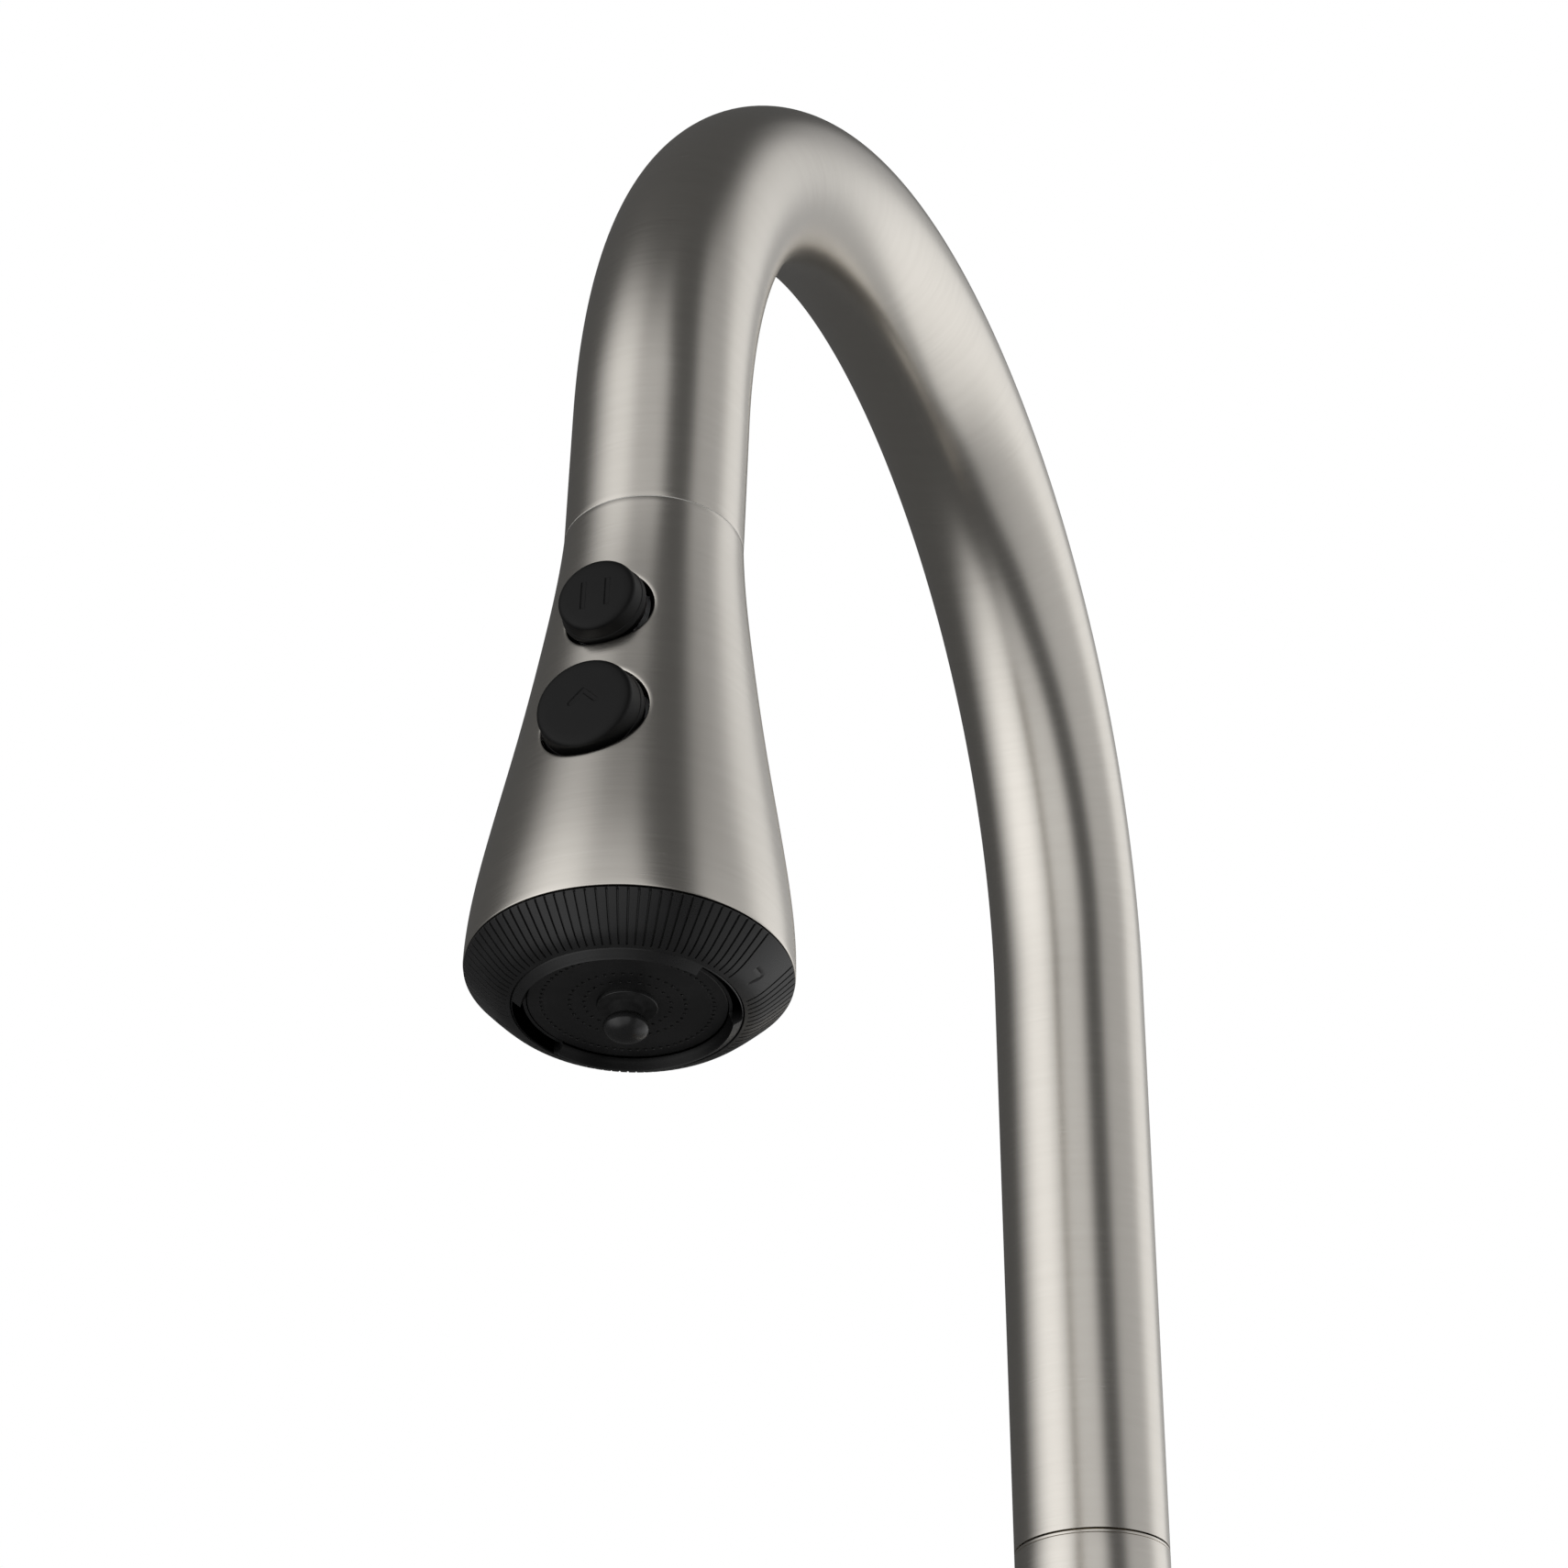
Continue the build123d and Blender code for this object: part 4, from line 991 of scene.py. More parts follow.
@dataclass(frozen=True)
class PushButton:
    """A black push button with a symbol pressed into its face, at a place along the head."""

    name: str
    symbol: Symbol
    body: Body
    mouth: Axes
    place: float
    radius: float
    back: float
    face: float
    edge: float = 0.9
    crown: float = 0.12
    flange: float = 0.08
    belly: float = 0.6
    step_height: float = 1.1
    depth: float = 0.17
    stem: float = 2.0
    stem_depth: float = 8.8
    belly_rise: float = 0.3
    crease: tuple[Place, Place] = ((0.36, 1.2), (0.28, 1.25))
    taper: float = 0.1
    bar_middle: float = 1.95
    bar_reach: float = 2.45
    chevron: float = 2.0
    line: float = 0.38
    soft: float = 0.06
    rows: int = 64

    @property
    def axes(self) -> Axes:
        """Axes at the button's place: the front up the head, along out of the head."""
        upward = tuple(-part for part in self.mouth.along)
        return Axes(self.mouth.moved(along=self.place).origin, self.mouth.across, upward, self.mouth.front)

    def mask(self, x: Array, y: Array) -> Array:
        """How far each point of the face lies in the symbol, from 0 to 1 over a soft edge.

        Args:
            x: Places across the face.
            y: Places up the face.

        Returns:
            The shares.
        """
        if self.symbol is Symbol.BARS:
            edge = np.maximum(np.abs(np.abs(x) - self.bar_middle) - self.line, np.abs(y) - self.bar_reach)
        else:
            edge = stroke(np.abs(x), y, (0.0, self.chevron), (self.chevron, 0.0)) - self.line
        return 1.0 - smooth(edge, -self.soft, self.soft)

    def press(self, angle: Array, radius: Array, distance: Array) -> tuple[Array, Array]:
        """Crown the face by 1 - (r/R)^2 and sink the symbol into it.

        Args:
            angle: Angle of each column.
            radius: Radius of each point.
            distance: Distance of each point along the axis.

        Returns:
            The new radius and distance.
        """
        crowned = self.crown * (1.0 - (radius / self.radius) ** 2)
        sunk = crowned - self.depth * self.mask(radius * np.cos(angle), radius * np.sin(angle))
        return radius, np.where(distance > self.face - 0.1 * NEAR, distance + sunk, distance)

    def build(self) -> None:
        """A cap whose wall flares towards the shell, over a narrower flange, on its stem."""
        flange, belly, step = self.radius + self.flange, self.radius + self.belly, self.back + self.step_height
        brink = self.radius - 2.0 * self.edge
        wall = rounded(
            [
                (0.0, self.back - self.stem_depth, 0.0),
                (self.stem, self.back - self.stem_depth, 0.3),
                (self.stem, self.back, 0.2),
                (flange, self.back, 0.1),
                (flange, step, 0.0),
                (belly, step + self.belly_rise, 0.2),
                *((self.radius + out, step + rise, 0.0) for out, rise in self.crease),
                (self.radius - self.taper, self.face, self.edge),
                (brink, self.face, 0.0),
            ],
            steps=8,
        )
        flat = np.linspace(brink, 0.0, self.rows)[1:]
        profile = np.vstack([wall, np.stack([flat, np.full(len(flat), self.face)], axis=1)])
        cap = turned(self.axes, profile, 256, self.press)
        Skin(self.name + "_cap", cap).fit(BLACK, Slot.BLACK, self.body, self.name + "_button")


@dataclass(frozen=True)
class ButtonHole:
    """A round hole in the front of the head's shell, in a window of the shell's grid."""

    place: float
    radius: float
    low: float
    high: float


@dataclass(frozen=True)
class SprayHead:
    """The flared shell of the spray head, with two button holes, and the pale liner at its seam: partly painted
    highlight.
    """

    axes: Axes
    start: float = 0.12
    length: float = 78.0
    stations: tuple[Place, ...] = ((14.0, 0.12), (16.1, 20.0), (19.2, 40.0), (22.75, 60.0), (24.6, 78.0))
    neck_bore: float = 12.4
    neck_end: float = 8.0
    skirt_bore: float = 22.6
    skirt_start: float = 66.0
    edge: float = 0.06
    rim_edge: float = 0.2
    hole_edge: float = 0.6
    hole_sink: float = 0.24
    liner_gap: float = 0.1
    liner_inset: float = 0.02
    liner_start: float = 0.01
    liner_lap: float = 0.05
    columns: int = 180
    half_window: int = 18
    holes: tuple[ButtonHole, ...] = (
        ButtonHole(place=22.5, radius=7.2, low=13.0, high=32.6),
        ButtonHole(place=43.6, radius=8.7, low=32.6, high=55.0),
    )

    def outer(self, distance: Array) -> Array:
        """The shell's outer radius at a distance from the seam."""
        flare = spline(self.stations, (0.05, 1.0), (0.0, 1.0), 600)
        return np.interp(distance, flare[:, 1], flare[:, 0])

    def inner(self, distance: Array) -> Array:
        """The shell's inner radius: a straight neck, a cone and a straight skirt."""
        return np.interp(distance, (self.neck_end, self.skirt_start), (self.neck_bore, self.skirt_bore))

    def patch(self, hole: ButtonHole, rows: Array, angles: Array) -> Sheet:
        """The piece of shell round a hole, from the window's edge to the hole, through the wall and back inside.

        A row of points goes round the window. Outside it moves in straight lines to the hole's rounded edge, then
        down the hole's wall, and inside back out to the window. Height above the head's axis is sqrt(R^2 - x^2).

        Args:
            hole: The hole.
            rows: The grid's distances inside the window, both ends among them.
            angles: The grid's angles inside the window, both ends among them.

        Returns:
            The surface of the patch.
        """
        edge_angle = np.concatenate(
            [angles[:-1], np.full(len(rows) - 1, angles[-1]), angles[:0:-1], np.full(len(rows), angles[0])]
        )
        edge_along = np.concatenate(
            [np.full(len(angles) - 1, rows[0]), rows[:-1], np.full(len(angles) - 1, rows[-1]), rows[::-1]]
        )
        outside = np.stack([self.outer(edge_along) * np.cos(edge_angle), edge_along], axis=-1)
        inside = np.stack([self.inner(edge_along) * np.cos(edge_angle), edge_along], axis=-1)
        bearing = np.arctan2(outside[:, 1] - hole.place, outside[:, 0])
        compass = np.stack([np.cos(bearing), np.sin(bearing)], axis=-1)
        middle = np.array([0.0, hole.place])
        lip = middle + (hole.radius + self.hole_edge) * compass
        bore = middle + hole.radius * compass
        share = np.linspace(0.0, 1.0, 9)[:, None, None]
        approach = outside + (lip - outside) * share
        turn = np.radians(np.linspace(0.0, 90.0, 7))[1:, None, None]
        rounding = lip + (bore - lip) * np.sin(turn)
        leave = bore + (inside - bore) * np.linspace(0.0, 1.0, 5)[:, None, None]
        top = np.concatenate([approach, rounding])
        sunk = np.concatenate([np.zeros((len(approach), 1)), self.hole_sink * (1.0 - np.cos(turn[:, 0]))])
        top_height = np.sqrt(self.outer(top[..., 1]) ** 2 - top[..., 0] ** 2) - sunk
        low_height = np.sqrt(self.inner(leave[..., 1]) ** 2 - leave[..., 0] ** 2)
        flat = np.concatenate([top, leave])
        height = np.concatenate([top_height, low_height])
        points = np.stack([flat[..., 0], height, flat[..., 1]], axis=-1)
        turns = np.arctan2(height, flat[..., 0]) / (2.0 * np.pi)
        return Sheet(self.axes.place(points), turns, flat[..., 1] * MM)

    def build(self) -> None:
        """Turn the shell as a closed wall, set a patch with a hole into each of its windows, and add the liner."""
        bounds = [self.start + self.edge, *(edge for hole in self.holes for edge in (hole.low, hole.high))]
        bounds = sorted({*bounds, self.length - self.rim_edge})
        spans = [np.linspace(low, high, int(high - low) + 2) for low, high in zip(bounds[:-1], bounds[1:])]
        rows = np.unique(np.concatenate(spans))
        outside = np.stack([self.outer(rows), rows], axis=1)
        inside = np.stack([self.inner(rows[::-1]), rows[::-1]], axis=1)
        rim = self.outer(np.array(self.length))
        foot = arc((rim - self.rim_edge, self.length - self.rim_edge), self.rim_edge, 90.0, 0.0, 6)[1:]
        mouth = self.outer(np.array(self.start))
        lip = arc((mouth - self.edge, self.start + self.edge), self.edge, 180.0, 90.0, 5)[:-1]
        profile = np.vstack([outside, foot, inside, [[self.neck_bore, self.start]], lip, outside[:1]])
        count = len(rows)
        angles = np.linspace(0.0, 2.0 * np.pi, self.columns + 1)
        sheet = turned(self.axes, profile, self.columns)
        turns = sheet.turns
        kept = np.ones((len(profile) - 1, self.columns), dtype=bool)
        middle = self.columns // 4
        left, right = middle - self.half_window, middle + self.half_window
        patches: list[Sheet] = []
        for hole in self.holes:
            low, high = np.searchsorted(rows, (hole.low - 1e-6, hole.high - 1e-6))
            kept[low:high, left:right] = False
            back = count + len(foot)
            kept[back + count - 1 - high : back + count - 1 - low, left:right] = False
            patches.append(self.patch(hole, rows[low : high + 1], angles[left : right + 1]))
        along = np.broadcast_to(profile[:, 1:] * MM, turns.shape)
        shell = Sheet(sheet.points, turns, along, kept)
        Skin("spray_head_shell", shell, *patches).fit(NICKEL, Slot.NICKEL, Body.HEAD, "head_shell")
        # the pale liner shows as a bright hairline in the seam, in part a painted highlight of the rounded edges
        inner, outer = self.neck_bore + self.liner_gap, mouth - self.liner_inset
        liner = ring(inner, outer, self.liner_start, self.start + self.liner_lap, self.liner_inset)
        Skin("dock_liner_seam_highlight", turned(self.axes, liner, 128)).fit(NYLON_SEAM_HIGHLIGHT, Slot.GREY, Body.HEAD)


@dataclass(frozen=True)
class SprayFace:
    """The black spray face: the grooved ring that turns, the disc with its nozzles, and the knob in the middle."""

    axes: Axes
    neck_start: float = 66.5
    neck_inner: float = 20.6
    neck_outer: float = 22.2
    shoulder: float = 78.15
    outer: float = 24.5
    brow: float = 78.35
    cheek: Place = (20.9, 82.0)
    chin: Place = (19.1, 83.4)
    groove_foot: Place = (17.3, 84.2)
    lip: Place = (17.0, 84.2)
    crest: Place = (15.72, 85.2)
    bore: float = 14.95
    ceiling: float = 80.0
    grooves: int = 96
    groove_depth: float = 0.32
    groove_floor: float = 0.07
    groove_wall: float = 0.12
    groove_end: float = 17.75
    pad_half: float = 9.4
    mark: tuple[Place, Place, Place] = ((0.02, 19.44), (-0.73, 20.86), (1.38, 20.96))
    slot_inner: float = 15.5
    slot_outer: float = 16.85
    slot_half: float = 27.0
    slot_ledge: float = 83.2
    slot_floor: float = 81.6
    disc: float = 14.85
    disc_back: float = 79.0
    disc_face: float = 83.2
    nozzles: tuple[tuple[float, int], ...] = ((12.8, 68), (8.6, 40), (6.4, 28))
    nozzle: float = 0.22
    boss: float = 4.5
    boss_rise: float = 0.6
    neck: float = 2.4
    knob: float = 3.45
    knob_half: float = 2.05
    knob_place: float = 87.1
    brow_aim: Place = (-1.0, 1.07)
    foot_aim: Place = (-1.0, 0.36)
    brim: Place = (0.35, 0.05)
    lands: Point = (0.235, 0.32, 0.41)
    mark_depth: float = 0.2
    mark_line: Place = (0.08, 0.22)
    slot_soft: float = 0.06
    slot_turn_soft: float = 0.25
    slot_rows: tuple[float, ...] = (0.08, 0.03, -0.03, -0.08)
    seam_aside: float = 0.03
    seam_depth: float = 0.28
    lip_middle: float = 16.5
    crest_edge: float = 0.1
    crest_round: float = 0.02
    gap_rise: float = 0.22
    gap_fall: float = 0.2
    disc_edge: float = 0.3
    nozzle_depth: float = 0.9
    nozzle_soft: float = 0.07
    nozzle_rows: float = 0.45
    bolt: float = 1.9
    bolt_start: float = 64.5
    boss_sink: float = 0.4
    boss_skirt: Place = (0.12, 0.05)
    boss_edge: float = 0.16
    neck_edge: float = 0.5
    neck_end: float = 86.1
    # colour of the painted shade on the top of the boss and on the neck, under the knob
    boss_painted_shade_tone: float = 0.035

    def rib(self, angle: Array, radius: Array, distance: Array) -> tuple[Array, Array]:
        """Cut grooves, chevrons and crescent slots into the ring.

        Each groove is a flat-bottomed cut square to the cone, by the distance to its middle line as a share of the
        pitch, and has a round inner end. The two pads at the sides stay smooth but for a chevron. A slot lowers the
        lip to the disc's face, and to its own floor between its two walls.

        Args:
            angle: Angle of each column.
            radius: Radius of each point.
            distance: Distance of each point along the head.

        Returns:
            The new radius and distance.
        """
        chord = np.array([self.lip[1] - self.brow, self.outer - self.lip[0]])
        normal = chord / np.linalg.norm(chord)
        slant = 1.0 / normal[1]
        brim = 1.0 - smooth(radius, self.outer - self.brim[0], self.outer - self.brim[1])
        on_cone = (distance > self.brow - NEAR) * brim
        side = wrapped(2.0 * angle, 0.0) / 2.0
        turn = angle * self.grooves / (2.0 * np.pi)
        pitch = 2.0 * np.pi / self.grooves * radius
        short = np.maximum(self.groove_end + self.groove_wall * pitch - radius, 0.0) * slant / pitch
        groove = 1.0 - smooth(np.hypot(turn - np.round(turn), short), self.groove_floor, self.groove_wall)
        cut = self.groove_depth * groove * (np.degrees(np.abs(side)) > self.pad_half)
        first, apex, last = ((place[0], (place[1] - self.cheek[0]) * slant) for place in self.mark)
        where = (side * radius, (radius - self.cheek[0]) * slant)
        chevron = np.minimum(stroke(*where, first, apex), stroke(*where, apex, last))
        cut = cut + self.mark_depth * (1.0 - smooth(chevron, *self.mark_line))
        cut = cut * on_cone
        soft, turn_soft = self.slot_soft, self.slot_turn_soft
        in_slot = 1.0 - smooth(np.degrees(np.abs(side)), self.slot_half - turn_soft, self.slot_half + turn_soft)
        in_slot = in_slot * (1.0 - smooth(radius, self.slot_outer - soft, self.slot_outer + soft))
        in_pocket = smooth(radius, self.slot_inner - soft, self.slot_inner + soft)
        floor = self.slot_ledge + (self.slot_floor - self.slot_ledge) * in_pocket
        radius, distance = radius - cut * normal[0], distance - cut * normal[1]
        return radius, distance + (np.minimum(distance, floor) - distance) * in_slot

    def drill(self, angle: Array, radius: Array, distance: Array) -> tuple[Array, Array]:
        """Sink a hole at each nozzle by the distance to the nearest nozzle's middle.

        Args:
            angle: Angle of each column.
            radius: Radius of each point.
            distance: Distance of each point along the axis.

        Returns:
            The new radius and distance.
        """
        sunk = np.zeros(np.broadcast_shapes(angle.shape, radius.shape))
        for circle, count in self.nozzles:
            turn = angle * count / (2.0 * np.pi)
            aside = (turn - np.round(turn)) * (2.0 * np.pi / count) * circle
            away = np.hypot(aside, radius - circle)
            hole = 1.0 - smooth(away, self.nozzle - self.nozzle_soft, self.nozzle + self.nozzle_soft)
            sunk = sunk + self.nozzle_depth * hole
        return radius, np.where(distance > self.disc_face - NEAR, distance - sunk, distance)

    def columns(self) -> Array:
        """The ring's angles: in each pitch, close columns at the groove's floor and walls and wider ones between.

        Returns:
            The angles in radians.
        """
        half = np.array([0.0, 0.5 * self.groove_floor, self.groove_floor, self.groove_wall, *self.lands])
        share = np.concatenate([half, [0.5], 1.0 - half[:0:-1]])
        pitches = np.arange(self.grooves)[:, None] + share[None, :]
        return np.append(pitches.ravel(), self.grooves) * (2.0 * np.pi / self.grooves)

    def ring_profile(self) -> Array:
        """The ring's section: a rounded cone, a fine seam, and a lip with close rows at the slot's walls.

        Returns:
            Rows of radius and distance.
        """
        bends = ((self.outer, self.brow), self.cheek, self.chin, self.groove_foot)
        cone = spline(bends, self.brow_aim, self.foot_aim, 90)
        spans = (  # close rows at the brim and at the grooves' inner ends
            (self.outer, self.outer - 0.45, 4),
            (self.outer - 0.5, self.groove_end + 0.5, 22),
            (self.groove_end + 0.4, self.groove_foot[0], 12),
        )
        radii = np.concatenate([np.linspace(*span) for span in spans])
        front = np.stack([radii, np.interp(-radii, -cone[:, 0], cone[:, 1])], axis=1)
        middle = 0.5 * (self.groove_foot[0] + self.lip[0])
        seam = [(middle + self.seam_aside, self.lip[1] - self.seam_depth), self.lip]
        walls = np.array(self.slot_rows)
        upper = np.linspace(self.lip_middle, self.crest[0] + self.crest_edge, 4)
        outer = np.round(np.concatenate([self.slot_outer + walls, upper]), 3)
        inner = np.round(np.concatenate([self.slot_inner + walls, [0.5 * (self.slot_inner + self.bore)]]), 3)
        rise = (self.crest[1] - self.lip[1]) / (self.lip[0] - self.crest[0])
        fall = (self.crest[1] - self.slot_ledge) / (self.crest[0] - self.bore)
        eased = self.crest_round * (outer < self.crest[0] + 2.0 * self.crest_edge)
        outside = np.stack([outer, self.lip[1] + (self.lip[0] - outer) * rise - eased], axis=1)
        inside = np.stack([inner, self.crest[1] - (self.crest[0] - inner) * fall], axis=1)
        lip = np.vstack([seam, outside, [self.crest], inside])
        shoulder = rounded(
            [
                (self.neck_inner, self.neck_start, 0.0),
                (self.neck_outer, self.neck_start, 0.3),
                (self.neck_outer, self.shoulder, 0.0),
                (self.outer, self.shoulder, 0.0),
            ]
        )
        back = [
            (self.bore, self.slot_ledge + self.gap_rise),
            (self.bore, self.slot_ledge - self.gap_fall),
            (self.bore, self.ceiling),
            (self.neck_inner, self.ceiling),
            (self.neck_inner, self.neck_start),
        ]
        return np.vstack([shoulder[:-1], front, lip, back])

    def build_ring(self) -> None:
        """The grooved ring, with painted shade in its slots, behind its lip and in the gap beside the disc."""
        section = self.ring_profile()
        ribbed = turned(self.axes, section, shape=self.rib, angles=self.columns())
        walls = np.round([self.slot_outer + self.slot_rows[0], self.slot_inner + self.slot_rows[1]], 3)
        start, end = ribbed.along[np.isin(section[:, 0], walls), 0]
        highest = np.flatnonzero(section[:, 1] == self.crest[1])[0]
        lowest = np.flatnonzero(section[:, 0] == self.bore)[0]
        # painted shade in the crescent slots, on the far inner wall and in the gap beside the disc
        slotted = ShadePaintedPlastic(
            "ring_shade_painted_plastic", *FACE_COLOURS, *RING_SHEEN,
            half_turns=self.slot_half / 360.0, start=float(start), end=float(end),
            wall=float(ribbed.along[highest, 0]), gap=float(ribbed.along[lowest, 0]),
        )
        Skin("ribbed_ring", ribbed).fit(slotted, Slot.BLACK, Body.RING, "bezel_ring")

    def build_disc(self) -> None:
        """The disc, with close rows round each circle of nozzles."""
        steps = [np.linspace(0.0, self.disc - self.disc_edge, 30)]
        steps += [np.linspace(circle - self.nozzle_rows, circle + self.nozzle_rows, 15) for circle, _ in self.nozzles]
        radii = np.unique(np.round(np.concatenate(steps), 4))[::-1]
        front = np.stack([radii, np.full(len(radii), self.disc_face)], axis=1)
        side = rounded(
            [
                (0.0, self.disc_back, 0.0),
                (self.disc, self.disc_back, 0.0),
                (self.disc, self.disc_face, self.disc_edge),
                (float(radii[0]), self.disc_face, 0.0),
            ]
        )
        plate = turned(self.axes, np.vstack([side[:-1], front]), 1020, self.drill)
        Skin("spray_plate", plate).fit(FACE_BLACK, Slot.BLACK, Body.HEAD, "spray_disc")

    def build_knob(self) -> None:
        """The bolt with its boss, neck and rounded knob, with painted shade on the top of the boss and on the neck."""
        top, low = self.disc_face + self.boss_rise, self.disc_face - self.boss_sink
        foot = rounded(
            [
                (0.0, self.bolt_start, 0.0),
                (self.bolt, self.bolt_start, 0.3),
                (self.bolt, low, 0.0),
                (self.boss, low, 0.0),
                (self.boss + self.boss_skirt[0], self.disc_face - self.boss_skirt[1], 0.0),
                (self.boss, top, self.boss_edge),
                (self.neck, top, self.neck_edge),
                (self.neck, self.neck_end, 0.0),
            ]
        )
        meet = math.acos(self.neck / self.knob)
        turn = np.linspace(-meet, 0.5 * math.pi, 40)
        end = np.stack([self.knob * np.cos(turn), self.knob_place + self.knob_half * np.sin(turn)], axis=1)
        post = turned(self.axes, np.vstack([foot[:-1], end]), 96)
        shaded = np.flatnonzero(foot[:, 1] > top - 1e-6)[0]
        # painted shade on the boss's top and on the neck, where the knob shades them
        glossy = ShadePaintedPlastic(
            "knob_shade_painted_plastic", *FACE_COLOURS, *KNOB_SHEEN, tone=self.boss_painted_shade_tone,
            start=float(post.along[shaded, 0]), end=float(post.along[len(foot) - 1, 0]),
        )
        Skin("centre_knob", post).fit(glossy, Slot.BLACK, Body.HEAD, "centre_bolt")

    def build(self) -> None:
        """Make the ring, the disc and the knob."""
        self.build_ring()
        self.build_disc()
        self.build_knob()


@dataclass(frozen=True)
class FaucetBody:
    """The waisted body with the valve barrel on its side, and the base ring and its gasket."""

    radius: float = 25.5
    base: float = 6.0
    belly: float = 80.0
    neck: float = 14.0
    neck_start: float = 150.0
    top: float = 169.2
    wall: float = 3.5
    bore: float = 11.1
    base_radius: float = 27.5
    valve: float = 62.0
    barrel: float = 17.5
    barrel_end: float = 44.0
    barrel_bore: float = 15.8
    barrel_lip: float = 1.0
    root: float = 3.2
    root_depth: float = 2.0
    sink: float = 0.03
    bore_start: float = 130.0
    hole: float = 16.6
    base_gap: float = 0.4
    seal: tuple[float, float, float, float, float] = (20.1, 24.9, 0.0, 1.6, 0.3)

    def barrel_sheet(self) -> Sheet:
        """The barrel with a fillet round its root.

        On the fillet the radius falls from barrel + root to barrel as 1 - sin(t), and the reach grows from the
        body's round side, sqrt(R^2 - y^2), as 1 - cos(t). Beyond it the barrel is straight to its rounded end.

        Returns:
            The surface.
        """
        angle = np.linspace(0.0, 2.0 * np.pi, 129)[None, :]
        turn = np.radians(np.linspace(0.0, 90.0, 13))[:, None]
        radius = self.barrel + self.root * (1.0 - np.sin(turn)) + 0.0 * angle
        side = np.sqrt(self.radius**2 - (radius * np.cos(angle)) ** 2)
        reach = side + self.root * (1.0 - np.cos(turn)) - self.sink
        lip = self.barrel_lip
        end = rounded([(self.barrel, 0.0, 0.0), (self.barrel, lip, 0.35), (self.barrel_bore, lip, 0.0)])[1:]
        share = np.linspace(0.0, 1.0, 9)[1:, None]
        straight = reach[-1:] + (self.barrel_end - lip - reach[-1:]) * share
        radius = np.vstack([radius[:1], radius, np.full_like(straight, self.barrel), end[:, :1] + 0.0 * angle])
        tip = self.barrel_end - lip + end[:, 1:] + 0.0 * angle
        reach = np.vstack([reach[:1] - self.root_depth, reach, straight, tip])
        axes = Axes((0.0, 0.0, self.valve), (0.0, 1.0, 0.0), (0.0, 0.0, 1.0), (1.0, 0.0, 0.0))
        points = np.stack([radius * np.cos(angle), radius * np.sin(angle), reach], axis=-1)
        return Sheet(axes.place(points), angle / (2.0 * np.pi) + 0.0 * radius, reach * MM)

    def build(self) -> None:
        """Turn the body, set the barrel on it, and add the base."""
        waist = spline([(self.radius, self.belly), (self.neck, self.neck_start)], (0.0, 1.0), (0.0, 1.0), 40)
        foot = rounded(
            [
                (self.radius - self.wall, self.base, 0.0),
                (self.radius, self.base, 0.5),
                (self.radius, self.belly, 0.0),
            ]
        )
        crown = rounded(
            [
                (self.neck, self.neck_start, 0.0),
                (self.neck, self.top, 0.25),
                (self.bore, self.top, 0.0),
                (self.bore, self.bore_start, 0.0),
                (self.radius - self.wall, self.belly, 0.0),
                (self.radius - self.wall, self.base, 0.0),
            ]
        )
        profile = refined(np.vstack([foot, waist[1:], crown[1:]]), 3.0)
        Skin("waisted_body", turned(UPRIGHT, profile, 144), self.barrel_sheet()).fit(
            NICKEL, Slot.NICKEL, Body.BASE, "body_shell"
        )
        plinth = rounded(
            [
                (self.hole, self.base_gap, 0.0),
                (self.base_radius, self.base_gap, 0.3),
                (self.base_radius, self.base, 2.0),
                (self.hole, self.base, 0.0),
            ],
            closed=True,
            steps=8,
        )
        Skin("base_plinth", turned(UPRIGHT, plinth, 144)).fit(NICKEL, Slot.NICKEL, Body.BASE, "base_ring")
        Skin("base_seal", turned(UPRIGHT, ring(*self.seal), 96)).fit(RUBBER, Slot.RUBBER, Body.BASE, "base_gasket")


